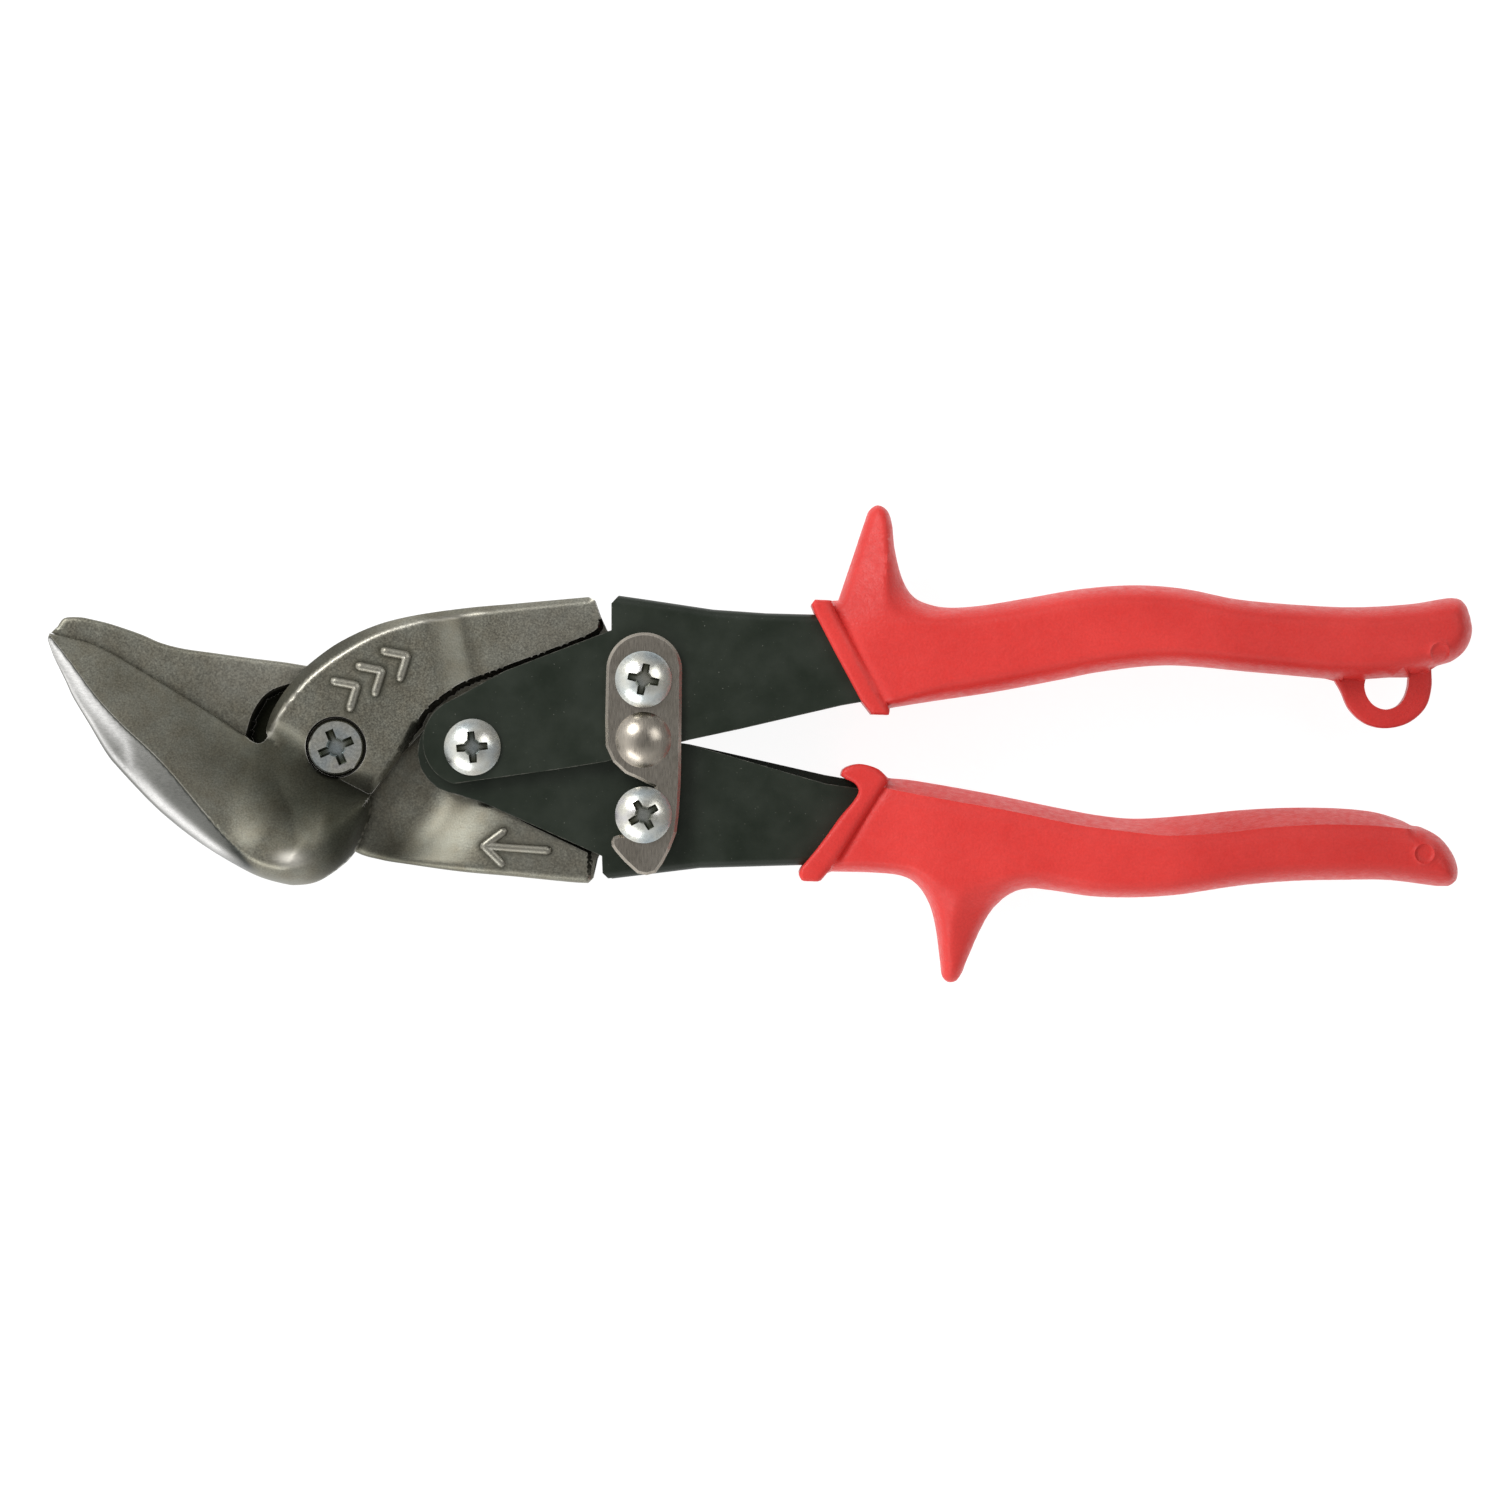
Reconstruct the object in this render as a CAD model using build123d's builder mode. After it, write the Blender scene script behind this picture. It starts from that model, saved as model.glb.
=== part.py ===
"""Offset aviation snips with compound-action handles, lying flat, closed and latched.

Millimetres.  +X runs from the jaws to the grips, +Z out of the side that shows the bolt heads.
The blades shear on the plane z = SHEAR_Z; the backs of the grips lie on z = 0.
"""

import math
import os

from build123d import *

os.makedirs("parts", exist_ok=True)

# Heights are written from the shear plane and lifted by this much.
SHEAR_Z = 11.0

# The four pivots form a kite that is symmetric about y = -0.6.
JAW_PIVOT = (-69.7, -0.6)
HANDLE_PIVOT = (-47.2, -0.6)
UPPER_LINK = (-19.1, 10.5)
LOWER_LINK = (-19.1, -11.7)

SHEET = 2.2
FRONT_OUTER = 7.45
FRONT_INNER = 5.1
TAIL_HALF = 2.8
BLADE_GAP = 0.05

HEAD_R = 4.65
HEAD_H = 2.5
HEAD_EDGE = 0.5
NUT_ACROSS = 8.0
NUT_H = 2.4
PIN_R = 2.5
PIN_FIT = 0.06
JAW_PIN_R = 3.0
JAW_HEAD_R = 4.5
JAW_BORE_R = 4.95
LINK_PLAY = 0.32


def at(point, height):
    """A horizontal plane through a point of the kite at a height from the shear plane."""
    return Plane.XY.offset(SHEAR_Z + height).move(Location((point[0], point[1], 0)))


def level(height):
    return Plane.XY.offset(SHEAR_Z + height)


def slab(outline, low, high):
    """A plate with straight edges between two heights."""
    with BuildPart() as plate:
        with BuildSketch(level(low)):
            with BuildLine():
                Polyline(*outline, close=True)
            make_face()
        extrude(amount=high - low)
    return plate.part


# ---------------------------------------------------------------- bolts, nuts and rings


def cap_r(base_r, rise):
    """The radius of the ball whose cap has this base and rise."""
    return (base_r**2 + rise**2) / (2 * rise)


def screw(center, under_head, tip, turn, neck_r=PIN_R, neck_low=0.0):
    """A domed cross-recess screw whose shank narrows to a neck above neck_low."""
    seam = math.radians(turn + 45)
    head = Plane(
        origin=(center[0], center[1], SHEAR_Z + under_head),
        x_dir=(math.cos(seam), math.sin(seam), 0),
        z_dir=(math.sin(seam), -math.cos(seam), 0),
    )
    with BuildPart() as body:
        with BuildSketch(at(center, tip)):
            Circle(PIN_R)
        extrude(amount=neck_low - tip)
        with BuildSketch(at(center, neck_low)):
            Circle(neck_r)
        extrude(amount=under_head - neck_low)
        with BuildSketch(head):
            with BuildLine():
                Line((0, 0), (HEAD_R, 0))
                Line((HEAD_R, 0), (HEAD_R, HEAD_EDGE))
                RadiusArc((HEAD_R, HEAD_EDGE), (0, HEAD_H), -cap_r(HEAD_R, HEAD_H - HEAD_EDGE))
                Line((0, HEAD_H), (0, 0))
            make_face()
        revolve(axis=Axis((center[0], center[1], 0), (0, 0, 1)))
        add(cross_recess(center, under_head + HEAD_H, turn), mode=Mode.SUBTRACT)
    return body.part


def cross_recess(center, top, turn, span=5.4):
    """The tapered cross that a driver fits, pointing down from the top of a head."""
    with BuildPart() as cross:
        with BuildSketch(at(center, top)):
            Rectangle(span, 1.4, rotation=turn)
            Rectangle(1.4, span, rotation=turn)
            Circle(0.27 * span)
        extrude(amount=-1.8, taper=12)
    return cross.part


def nut(center, low, bore_r, height=NUT_H, turn=0.0):
    with BuildPart() as body:
        with BuildSketch(at(center, low)):
            RegularPolygon(radius=NUT_ACROSS / 2, side_count=6, major_radius=False, rotation=turn)
            Circle(bore_r, mode=Mode.SUBTRACT)
        extrude(amount=height)
        outer = body.edges().group_by(Axis.Z)[0].filter_by(GeomType.LINE)
        chamfer(outer, 0.3)
    return body.part


def ring(center, low, high, outer_r, inner_r):
    with BuildPart() as body:
        with BuildSketch(at(center, low)):
            Circle(outer_r)
            Circle(inner_r, mode=Mode.SUBTRACT)
        extrude(amount=high - low)
    return body.part


# ---------------------------------------------------------------- handles

UPPER_TONGUE = [(-50.3, -6.6), (-33.0, -4.2), (-25.5, -3.0), (-11.7, 0.6)]
UPPER_SHANK = [(-11.7, 0.6), (-3.3, 2.4), (13.5, 6.3), (30.0, 9.2), (45.0, 11.8), (60.0, 14.4)]
UPPER_BACK = [
    (60.0, 23.8), (45.0, 22.0), (30.0, 20.4), (8.6, 21.2), (1.0, 21.4), (-7.7, 22.0),
    (-18.3, 23.6), (-23.2, 24.3), (-24.4, 23.0), (-24.4, 18.6), (-41.9, 11.9), (-50.9, 7.0),
]
LOWER_TONGUE = [(-50.3, 5.4), (-33.0, 3.0), (-25.5, 1.8), (-11.7, -0.1)]
LOWER_SHANK = [(-11.7, -0.1), (10.7, -6.6), (30.0, -9.4), (45.0, -12.4), (60.0, -15.4)]
LOWER_SHANK_REAR = [(-11.7, 0.1), (10.7, -5.2), (30.0, -8.6), (45.0, -12.0), (60.0, -15.4)]
LOWER_BACK = [
    (60.0, -23.4), (45.0, -21.8), (30.0, -19.8), (7.4, -20.0), (-9.9, -20.5),
    (-19.8, -21.7), (-25.0, -22.2), (-25.9, -21.3), (-26.0, -18.5), (-45.6, -9.7), (-50.4, -8.2),
]


def flange(tongue, shank, back, nose, low, holes):
    """One wall of a channel: a round nose at the handle pivot, then the outline."""
    with BuildPart() as wall:
        with BuildSketch(level(low)):
            with BuildLine():
                ThreePointArc(back[-1], nose, tongue[0])
                Polyline(*tongue, *shank[1:], *back)
            make_face()
            for center, radius in holes:
                with Locations(center):
                    Circle(radius, mode=Mode.SUBTRACT)
        extrude(amount=SHEET)
    return wall.part


def web(back, start_x, low, high, side):
    """The strip that joins the two walls along the outer edge."""
    outer = [p for p in back if p[0] > start_x + 1.5]
    edge_y = outer[-1][1] + (start_x - outer[-1][0]) * -0.12 * side
    outer = outer + [(start_x, edge_y)]
    inner = [(x, y - side * SHEET) for x, y in reversed(outer)]
    return slab(outer + inner, low, high)


def channel(front, rear, strip):
    with BuildPart() as body:
        add(front)
        add(rear)
        add(strip)
    return body.part


rear_inner = -FRONT_INNER
CHANNEL_MID = (FRONT_OUTER - FRONT_INNER) / 2
CHANNEL_HALF = (FRONT_OUTER + FRONT_INNER) / 2
hole = PIN_R + PIN_FIT
upper_front = flange(UPPER_TONGUE, UPPER_SHANK, UPPER_BACK, (-55.3, -0.6), FRONT_OUTER - SHEET,
                     [(HANDLE_PIVOT, hole), (UPPER_LINK, hole)])
upper_rear = flange(UPPER_TONGUE, UPPER_SHANK, UPPER_BACK, (-55.3, -0.6), rear_inner,
                    [(HANDLE_PIVOT, hole), (UPPER_LINK, hole)])
upper_web = web(UPPER_BACK, -23.3, rear_inner, FRONT_OUTER, 1)
lower_front = flange(LOWER_TONGUE, LOWER_SHANK, LOWER_BACK, (-56.2, -0.6), FRONT_INNER - SHEET,
                     [(HANDLE_PIVOT, hole), (LOWER_LINK, hole)])
lower_rear = flange(LOWER_TONGUE, LOWER_SHANK_REAR, LOWER_BACK, (-56.2, -0.6), -FRONT_OUTER,
                    [(HANDLE_PIVOT, hole), (LOWER_LINK, hole)])
lower_web = web(LOWER_BACK, -24.4, -FRONT_OUTER, FRONT_INNER, -1)

with BuildPart() as upper_handle:
    add(channel(upper_front, upper_rear, upper_web))
    long_edges = upper_handle.edges().filter_by(
        lambda e: e.center().Y > 19
        and abs(abs(e.center().Z - SHEAR_Z - CHANNEL_MID) - CHANNEL_HALF) < 0.01
        and e.length > 5
    )
    fillet(long_edges, 1.4)

with BuildPart() as lower_handle:
    add(channel(lower_front, lower_rear, lower_web))
    long_edges = lower_handle.edges().filter_by(
        lambda e: e.center().Y < -19
        and abs(abs(e.center().Z - SHEAR_Z + CHANNEL_MID) - CHANNEL_HALF) < 0.01
        and e.length > 5
    )
    fillet(long_edges, 1.4)

# ---------------------------------------------------------------- jaws


def blade(sections, floor):
    """A ruled blade through upright sections: (inner point, outer point, profile)."""
    with BuildPart() as body:
        for inner, outer, profile in sections:
            run = Vector(outer[0] - inner[0], outer[1] - inner[1], 0)
            origin = (inner[0], inner[1], SHEAR_Z)
            plane = Plane(origin=origin, x_dir=run, z_dir=run.cross(Vector(0, 0, 1)))
            reach = run.length
            lift = 1 if floor > 0 else -1
            corners = [(0, floor)]
            corners += [(share * reach, lift * height) for share, height in profile]
            corners += [(reach, floor)]
            with BuildSketch(plane):
                with BuildLine():
                    Polyline(*corners, close=True)
                make_face()
        loft(ruled=True)
    return body.part


FRONT_BLADE = [
    ((-116.9, 18.1), (-117.5, 17.2), [(0, 1.0), (0.5, 1.6), (1, 1.0)]),
    ((-109.4, 16.1), (-114.5, 10.4), [(0, 1.0), (0.70, 4.2), (1, 1.4)]),
    ((-101.5, 11.7), (-111.4, 4.5), [(0, 1.1), (0.70, 6.3), (1, 2.0)]),
    ((-95.4, 8.0), (-107.8, -1.6), [(0, 1.2), (0.71, 8.2), (1, 2.5)]),
    ((-89.8, 4.5), (-103.7, -6.5), [(0, 1.4), (0.70, 9.6), (1, 3.0)]),
    ((-84.9, 0.9), (-97.5, -12.2), [(0, 2.0), (0.72, 10.6), (1, 3.2)]),
    ((-80.0, 1.2), (-92.2, -16.2), [(0, 3.0), (0.80, 11.4), (1, 3.6)]),
    ((-76.0, -0.9), (-86.8, -19.5), [(0, 3.0), (0.86, 12.0), (1, 4.2)]),
    ((-71.0, -3.7), (-78.5, -23.0), [(0, 3.0), (0.78, 12.4), (1, 5.0)]),
    ((-67.2, -5.8), (-71.3, -22.0), [(0, 3.0), (0.72, 11.8), (1, 5.0)]),
    ((-64.7, -7.4), (-66.9, -18.0), [(0, 3.0), (0.60, 9.8), (1, 5.0)]),
    ((-63.9, -8.2), (-64.6, -13.0), [(0, 3.0), (0.50, 8.0), (1, 4.6)]),
]

# The pocket that clears the channel noses, open towards the link eye.
POCKET = [
    (-46.0, -9.9), (-53.0, -8.4), (-57.6, -3.4), (-58.0, 0.6), (-56.4, 3.0), (-54.5, 5.7),
    (-51.3, 8.3), (-48.3, 10.1), (-41.9, 12.5), (-33.0, 15.8), (-27.0, 18.4), (-26.5, 20.4),
    (-15.0, 21.0), (-9.0, 12.0), (-14.0, -2.0),
]
FRONT_BOSS = [
    (-82.6, 2.6), (-79.9, 7.2), (-76.6, 11.3), (-73.5, 13.9), (-69.2, 16.8), (-63.9, 19.2),
    (-58.2, 20.8), (-49.3, 22.2), (-49.3, 9.0), (-54.0, 5.6), (-56.4, 3.0), (-58.8, -1.6),
    (-64.1, -8.6), (-81.6, 0.9),
]
FRONT_TAIL = [
    (-58.2, 20.8), (-49.3, 22.2), (-40.5, 23.0), (-31.6, 23.8), (-27.5, 24.1), (-26.9, 23.3),
    (-26.3, 21.0), (-25.2, 18.6), (-22.5, 17.2),
]
EYE_R = 7.3


def tail(outline, eye, low, high, inner_run, clear_of=None):
    """The link arm with its round eye, clear of the spring housing around the handle pivot."""
    with BuildPart() as body:
        with BuildSketch(level(low)):
            with BuildLine():
                Polyline(*outline, eye, *inner_run, close=True)
            make_face()
            with Locations(eye):
                Circle(EYE_R)
            with Locations(HANDLE_PIVOT):
                Circle(8.2, mode=Mode.SUBTRACT)
            if clear_of:
                with Locations(JAW_PIVOT):
                    Circle(clear_of, mode=Mode.SUBTRACT)
        extrude(amount=high - low)
    return body.part


INNER_RUN = [(-22.0, 3.8), (-34.0, 6.4), (-47.2, 7.2), (-55.2, 3.0)]
TAIL_FRONT_H = 5.0
TAIL_REAR_H = 4.2
BOSS_H = 6.2
CREST_R = 17.4

with BuildPart() as front_jaw:
    add(blade(FRONT_BLADE, BLADE_GAP))
    with BuildSketch(level(BLADE_GAP)):
        with BuildLine():
            Polyline(*FRONT_BOSS, close=True)
        make_face()
    extrude(amount=BOSS_H - BLADE_GAP)
    rim = front_jaw.edges().filter_by(
        lambda e: abs(e.center().Z - SHEAR_Z - BOSS_H) < 0.01
        and e.center().X < -60
        and e.center().Y > 1.2
        and e.length > 2
    )
    chamfer(rim, length=2.0, length2=2.0)
    add(tail(FRONT_TAIL, UPPER_LINK, BLADE_GAP, TAIL_FRONT_H, INNER_RUN))
    add(tail(FRONT_TAIL, UPPER_LINK, -TAIL_REAR_H, BLADE_GAP, INNER_RUN, clear_of=CREST_R))
    with BuildSketch(level(TAIL_HALF)):
        with BuildLine():
            Polyline(*POCKET, close=True)
        make_face()
    extrude(amount=8.0, mode=Mode.SUBTRACT)
    with BuildSketch(level(-TAIL_HALF)):
        with BuildLine():
            Polyline(*POCKET, close=True)
        make_face()
    extrude(amount=-8.0, mode=Mode.SUBTRACT)
    with BuildSketch(at(JAW_PIVOT, 0)):
        Circle(JAW_PIN_R + PIN_FIT)
    extrude(amount=12, mode=Mode.SUBTRACT)
    with BuildSketch(at(JAW_PIVOT, 3.4)):
        Circle(JAW_BORE_R)
    extrude(amount=8, mode=Mode.SUBTRACT)
    with BuildSketch(at(UPPER_LINK, -9)):
        Circle(PIN_R + PIN_FIT)
    extrude(amount=18, mode=Mode.SUBTRACT)

REAR_BLADE = [
    ((-117.0, 18.3), (-115.8, 19.8), [(0, 0.8), (0.5, 1.4), (1, 1.0)]),
    ((-114.2, 16.9), (-112.1, 20.8), [(0, 0.9), (0.6, 3.2), (1, 2.0)]),
    ((-107.0, 13.2), (-103.8, 18.6), [(0, 1.0), (0.6, 5.6), (1, 3.0)]),
    ((-99.4, 8.8), (-96.0, 15.8), [(0, 1.2), (0.55, 7.6), (1, 3.6)]),
    ((-91.6, 4.0), (-87.6, 14.6), [(0, 1.4), (0.5, 9.2), (1, 4.2)]),
    ((-84.0, -1.6), (-79.8, 13.5), [(0, 1.8), (0.5, 10.4), (1, 4.8)]),
    ((-77.5, -7.0), (-74.5, 12.8), [(0, 2.4), (0.5, 10.2), (1, 5.0)]),
    ((-75.6, -8.6), (-72.0, 12.6), [(0, 2.8), (0.5, 6.6), (1, 5.0)]),
]
REAR_BOSS = [
    (-80.0, 13.5), (-73.5, 12.6), (-67.5, 13.2), (-61.5, 11.4), (-57.8, 6.8), (-58.8, 0.4),
    (-56.4, -4.2), (-54.0, -6.8), (-49.3, -10.2), (-49.3, -21.0), (-58.2, -19.9),
    (-62.6, -19.2), (-66.8, -17.9), (-70.6, -14.6), (-77.5, -7.0), (-84.0, -1.6),
]
REAR_TAIL = [
    (-50.6, -21.1), (-49.3, -21.2), (-40.5, -21.9), (-31.6, -22.8), (-28.3, -23.0), (-27.5, -22.2),
    (-26.8, -19.0), (-26.3, -18.0), (-22.5, -18.4),
]
REAR_POCKET = [
    (-46.0, 8.7), (-53.0, 7.2), (-57.6, 2.2), (-58.6, -1.6), (-57.7, -4.4), (-55.6, -6.7),
    (-53.2, -8.5), (-49.6, -9.8), (-45.6, -10.3), (-39.1, -12.7), (-28.3, -17.8), (-28.3, -24.0),
    (-15.0, -24.0), (-9.0, -13.2), (-14.0, 0.8),
]
REAR_INNER_RUN = [(-22.0, -5.0), (-34.0, -7.6), (-47.2, -8.4), (-54.4, -7.6)]
RELIEF = [
    (-84.9, 0.9), (-83.4, -0.2), (-81.2, 0.9), (-74.5, 10.4), (-76.5, 10.6), (-80.8, 8.5), (-83.4, 5.4),
]

with BuildPart() as rear_jaw:
    add(blade(REAR_BLADE, -BLADE_GAP))
    with BuildSketch(level(-BLADE_GAP)):
        with BuildLine():
            Polyline(*REAR_BOSS, close=True)
        make_face()
    extrude(amount=-(BOSS_H - BLADE_GAP))
    add(tail(REAR_TAIL, LOWER_LINK, -TAIL_FRONT_H, -BLADE_GAP, REAR_INNER_RUN))
    add(tail(REAR_TAIL, LOWER_LINK, -BLADE_GAP, TAIL_REAR_H, REAR_INNER_RUN, clear_of=CREST_R))
    with BuildSketch(level(TAIL_HALF)):
        with BuildLine():
            Polyline(*REAR_POCKET, close=True)
        make_face()
    extrude(amount=8.0, mode=Mode.SUBTRACT)
    with BuildSketch(level(-TAIL_HALF)):
        with BuildLine():
            Polyline(*REAR_POCKET, close=True)
        make_face()
    extrude(amount=-8.0, mode=Mode.SUBTRACT)
    with BuildSketch(level(0)):
        with BuildLine():
            Polyline(*RELIEF, close=True)
        make_face()
    extrude(amount=-2.6, mode=Mode.SUBTRACT)
    with BuildSketch(at(JAW_PIVOT, 0)):
        Circle(JAW_PIN_R + PIN_FIT)
    extrude(amount=-12, mode=Mode.SUBTRACT)
    with BuildSketch(at(JAW_PIVOT, -3.4)):
        Circle(5.4)
    extrude(amount=-8, mode=Mode.SUBTRACT)
    with BuildSketch(at(LOWER_LINK, -9)):
        Circle(PIN_R + LINK_PLAY)
    extrude(amount=18, mode=Mode.SUBTRACT)

# ---------------------------------------------------------------- fasteners

JAW_HEAD_H = 2.3
with BuildPart() as jaw_pivot_bolt:
    with BuildSketch(at(JAW_PIVOT, -6.0)):
        Circle(JAW_PIN_R)
    extrude(amount=9.5)
    with BuildSketch(at(JAW_PIVOT, 3.45)):
        Circle(JAW_HEAD_R)
    extrude(amount=JAW_HEAD_H)
    chamfer(jaw_pivot_bolt.edges().group_by(Axis.Z)[-1], 0.25)
    add(cross_recess(JAW_PIVOT, 3.45 + JAW_HEAD_H, 23, span=6.0), mode=Mode.SUBTRACT)

jaw_pivot_washer = ring(JAW_PIVOT, -3.95, -3.45, 4.9, JAW_PIN_R + PIN_FIT)
jaw_pivot_nut = nut(JAW_PIVOT, -6.2, JAW_PIN_R, height=2.2, turn=10)

handle_pivot_bolt = screw(HANDLE_PIVOT, FRONT_OUTER, -FRONT_OUTER - NUT_H, 5)
handle_pivot_nut = nut(HANDLE_PIVOT, -FRONT_OUTER - NUT_H, PIN_R)
handle_pivot_bushing = ring(HANDLE_PIVOT, -TAIL_HALF, TAIL_HALF, 3.9, PIN_R + PIN_FIT)

LATCH_LOW = 7.5
LATCH_HIGH = 9.0
upper_link_bolt = screw(UPPER_LINK, LATCH_HIGH + 0.45, rear_inner - NUT_H, -12)
upper_link_nut = nut(UPPER_LINK, rear_inner - NUT_H, PIN_R, turn=15)
upper_link_spacer = ring(UPPER_LINK, TAIL_HALF + 0.05, FRONT_OUTER - SHEET, 4.6, PIN_R + PIN_FIT)
latch_wave_washer = ring(UPPER_LINK, LATCH_HIGH, LATCH_HIGH + 0.45, 4.3, PIN_R + PIN_FIT)

NECK_R = 2.0
COLLAR_TOP = LATCH_LOW - 0.1
lower_link_bolt = screw(LOWER_LINK, LATCH_HIGH + 0.2, -FRONT_OUTER - NUT_H, 30, NECK_R, COLLAR_TOP)
keeper_collar = ring(LOWER_LINK, FRONT_INNER, COLLAR_TOP, 4.2, PIN_R + PIN_FIT)
lower_link_nut = nut(LOWER_LINK, -FRONT_OUTER - NUT_H, PIN_R, turn=25)
lower_link_spacer = ring(LOWER_LINK, -FRONT_OUTER + SHEET, -TAIL_HALF - 0.05, 4.6, PIN_R + PIN_FIT)

# ---------------------------------------------------------------- latch

HOOK_EDGE = [
    (-13.0, -5.9), (-13.3, -11.3), (-13.7, -14.6), (-14.8, -17.4), (-16.0, -19.7), (-17.1, -21.2),
    (-18.6, -21.6), (-20.1, -21.3), (-22.2, -19.4), (-23.7, -17.7), (-24.3, -16.8), (-24.4, -16.0),
    (-24.0, -15.3), (-23.2, -15.0), (-22.4, -15.0), (-20.4, -14.4),
]
SLOT_ROOF = [
    (-16.7, -9.4), (-17.3, -7.2), (-19.8, -5.9), (-22.1, -4.9), (-24.1, -3.0), (-25.3, -0.4), (-25.4, 3.9),
]
DOME = (-19.1, 0.6)
DOME_R = 4.6
DOME_H = 2.1

with BuildPart() as latch_plate:
    with BuildSketch(level(LATCH_LOW)):
        with BuildLine():
            Line((-25.4, 3.9), (-25.2, 12.0))
            ThreePointArc((-25.2, 12.0), (-19.1, 18.2), (-12.8, 12.4))
            Line((-12.8, 12.4), (-13.0, -5.9))
            Polyline(*HOOK_EDGE)
            ThreePointArc((-20.4, -14.4), (-16.9, -12.6), (-16.7, -9.4))
            Polyline(*SLOT_ROOF)
        make_face()
        with Locations(UPPER_LINK):
            Circle(PIN_R + PIN_FIT, mode=Mode.SUBTRACT)
    extrude(amount=LATCH_HIGH - LATCH_LOW)
    chamfer(latch_plate.faces().sort_by(Axis.Z)[-1].outer_wire().edges(), 0.45)
    dome_plane = Plane(origin=(DOME[0], DOME[1], SHEAR_Z + LATCH_HIGH), x_dir=(1, 0, 0), z_dir=(0, -1, 0))
    with BuildSketch(dome_plane):
        with BuildLine():
            Line((0, -0.3), (DOME_R, -0.3))
            Line((DOME_R, -0.3), (DOME_R, 0))
            RadiusArc((DOME_R, 0), (0, DOME_H), -cap_r(DOME_R, DOME_H))
            Line((0, DOME_H), (0, -0.3))
        make_face()
    revolve(axis=Axis((DOME[0], DOME[1], 0), (0, 0, 1)))

# ---------------------------------------------------------------- return spring

COIL_R = 5.1
WIRE_R = 0.65
COIL_H = 3.9
LEG_REACH = 20.2
LEG_RISE = 3.9
leg_length = math.hypot(LEG_REACH, LEG_RISE)
leave = math.degrees(math.acos(COIL_R / leg_length) - math.atan2(LEG_RISE, LEG_REACH))
turned = 720 + 360 - 2 * leave
# The legs are a hair slimmer than the coil and start just inside its cut ends.
LEG_R = WIRE_R - 0.02
LEG_START = 0.05

coil_seat = Location((HANDLE_PIVOT[0], HANDLE_PIVOT[1], SHEAR_Z - COIL_H / 2), (0, 0, leave))
coil_line = coil_seat * Helix(pitch=COIL_H / turned * 360, height=COIL_H, radius=COIL_R)

with BuildPart() as return_spring:
    with BuildSketch(Plane(origin=coil_line @ 0, z_dir=coil_line % 0)):
        Circle(WIRE_R)
    sweep(path=coil_line)
    for root, rise in ((coil_line @ 0, -LEG_RISE), (coil_line @ 1, LEG_RISE)):
        leg = Vector(HANDLE_PIVOT[0] + LEG_REACH, HANDLE_PIVOT[1] + rise, root.Z) - root
        aim = leg.normalized()
        with BuildSketch(Plane(origin=root - aim * LEG_START, z_dir=aim)):
            Circle(LEG_R)
        extrude(amount=leg.length + LEG_START)

# ---------------------------------------------------------------- grips

GRIP_HALF = 11.0
HORN_HALF = 7.0
COLLAR_HALF = 9.8
LOOP_HALF = 2.0
POCKET_FIT = 0.06

UPPER_TOP = [
    (31.6, 22.4), (36.9, 22.8), (44.2, 24.0), (53.1, 25.5), (61.8, 26.1), (70.0, 25.5), (79.3, 23.7),
    (91.3, 22.7), (99.2, 22.5), (107.3, 23.0), (114.0, 24.0),
]
UPPER_BOTTOM = [
    (110.6, 12.4), (103.0, 11.0), (95.3, 10.8), (81.2, 11.8), (67.6, 12.9), (56.7, 11.9),
    (49.4, 10.5), (38.7, 8.5), (28.0, 6.9), (20.6, 5.9),
]
LOWER_TOP = [
    (20.6, -5.4), (26.0, -6.2), (37.4, -8.2), (48.6, -10.5), (56.2, -11.9), (62.6, -12.4), (71.4, -11.8),
    (79.3, -11.0), (87.3, -10.6), (95.3, -10.7), (101.2, -11.3), (108.0, -13.4),
]
LOWER_BOTTOM = [
    (111.5, -23.6), (103.3, -22.5), (95.3, -22.5), (87.3, -22.7), (79.3, -23.4), (67.2, -25.1),
    (56.2, -25.3), (44.2, -23.7), (36.0, -23.4), (22.0, -21.6), (11.4, -21.2),
]
UPPER_HORN = [
    (12.6, 22.0), (17.3, 36.7), (18.0, 38.5), (19.4, 39.5), (21.0, 38.5), (21.8, 36.0), (22.2, 32.1),
    (23.4, 27.3), (25.2, 24.1), (28.0, 22.7), (32.0, 22.2), (32.0, 15.0), (16.0, 15.0),
]
LOWER_HORN = [
    (20.0, -20.0), (24.1, -21.8), (26.4, -23.5), (28.0, -26.1), (29.0, -30.4), (29.7, -35.7),
    (30.0, -38.6), (31.3, -39.6), (32.7, -38.8), (34.6, -34.5), (36.6, -30.1), (38.5, -27.1), (41.2, -24.8),
    (44.2, -23.7), (44.2, -18.0), (20.0, -16.0),
]
UPPER_COLLAR = [
    (8.4, 22.8), (9.0, 23.6), (11.4, 23.5), (12.3, 21.6), (20.1, 7.5), (21.4, 5.3), (21.1, 4.8), (18.5, 4.7),
    (16.5, 7.1), (12.3, 14.9), (9.2, 20.9),
]
LOWER_COLLAR = [
    (13.2, -5.3), (14.4, -3.8), (16.9, -3.4), (19.6, -4.5), (20.8, -6.3), (11.4, -20.9), (9.9, -22.7),
    (6.7, -22.7), (6.3, -20.6), (9.1, -17.9), (13.2, -12.0), (15.7, -9.2), (16.1, -7.4),
]
LOOP_HOLE = [(99.9, 10.9), (99.5, 8.4), (100.9, 6.3), (103.1, 5.4), (105.4, 6.2), (107.0, 8.4), (106.9, 10.9)]


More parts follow.
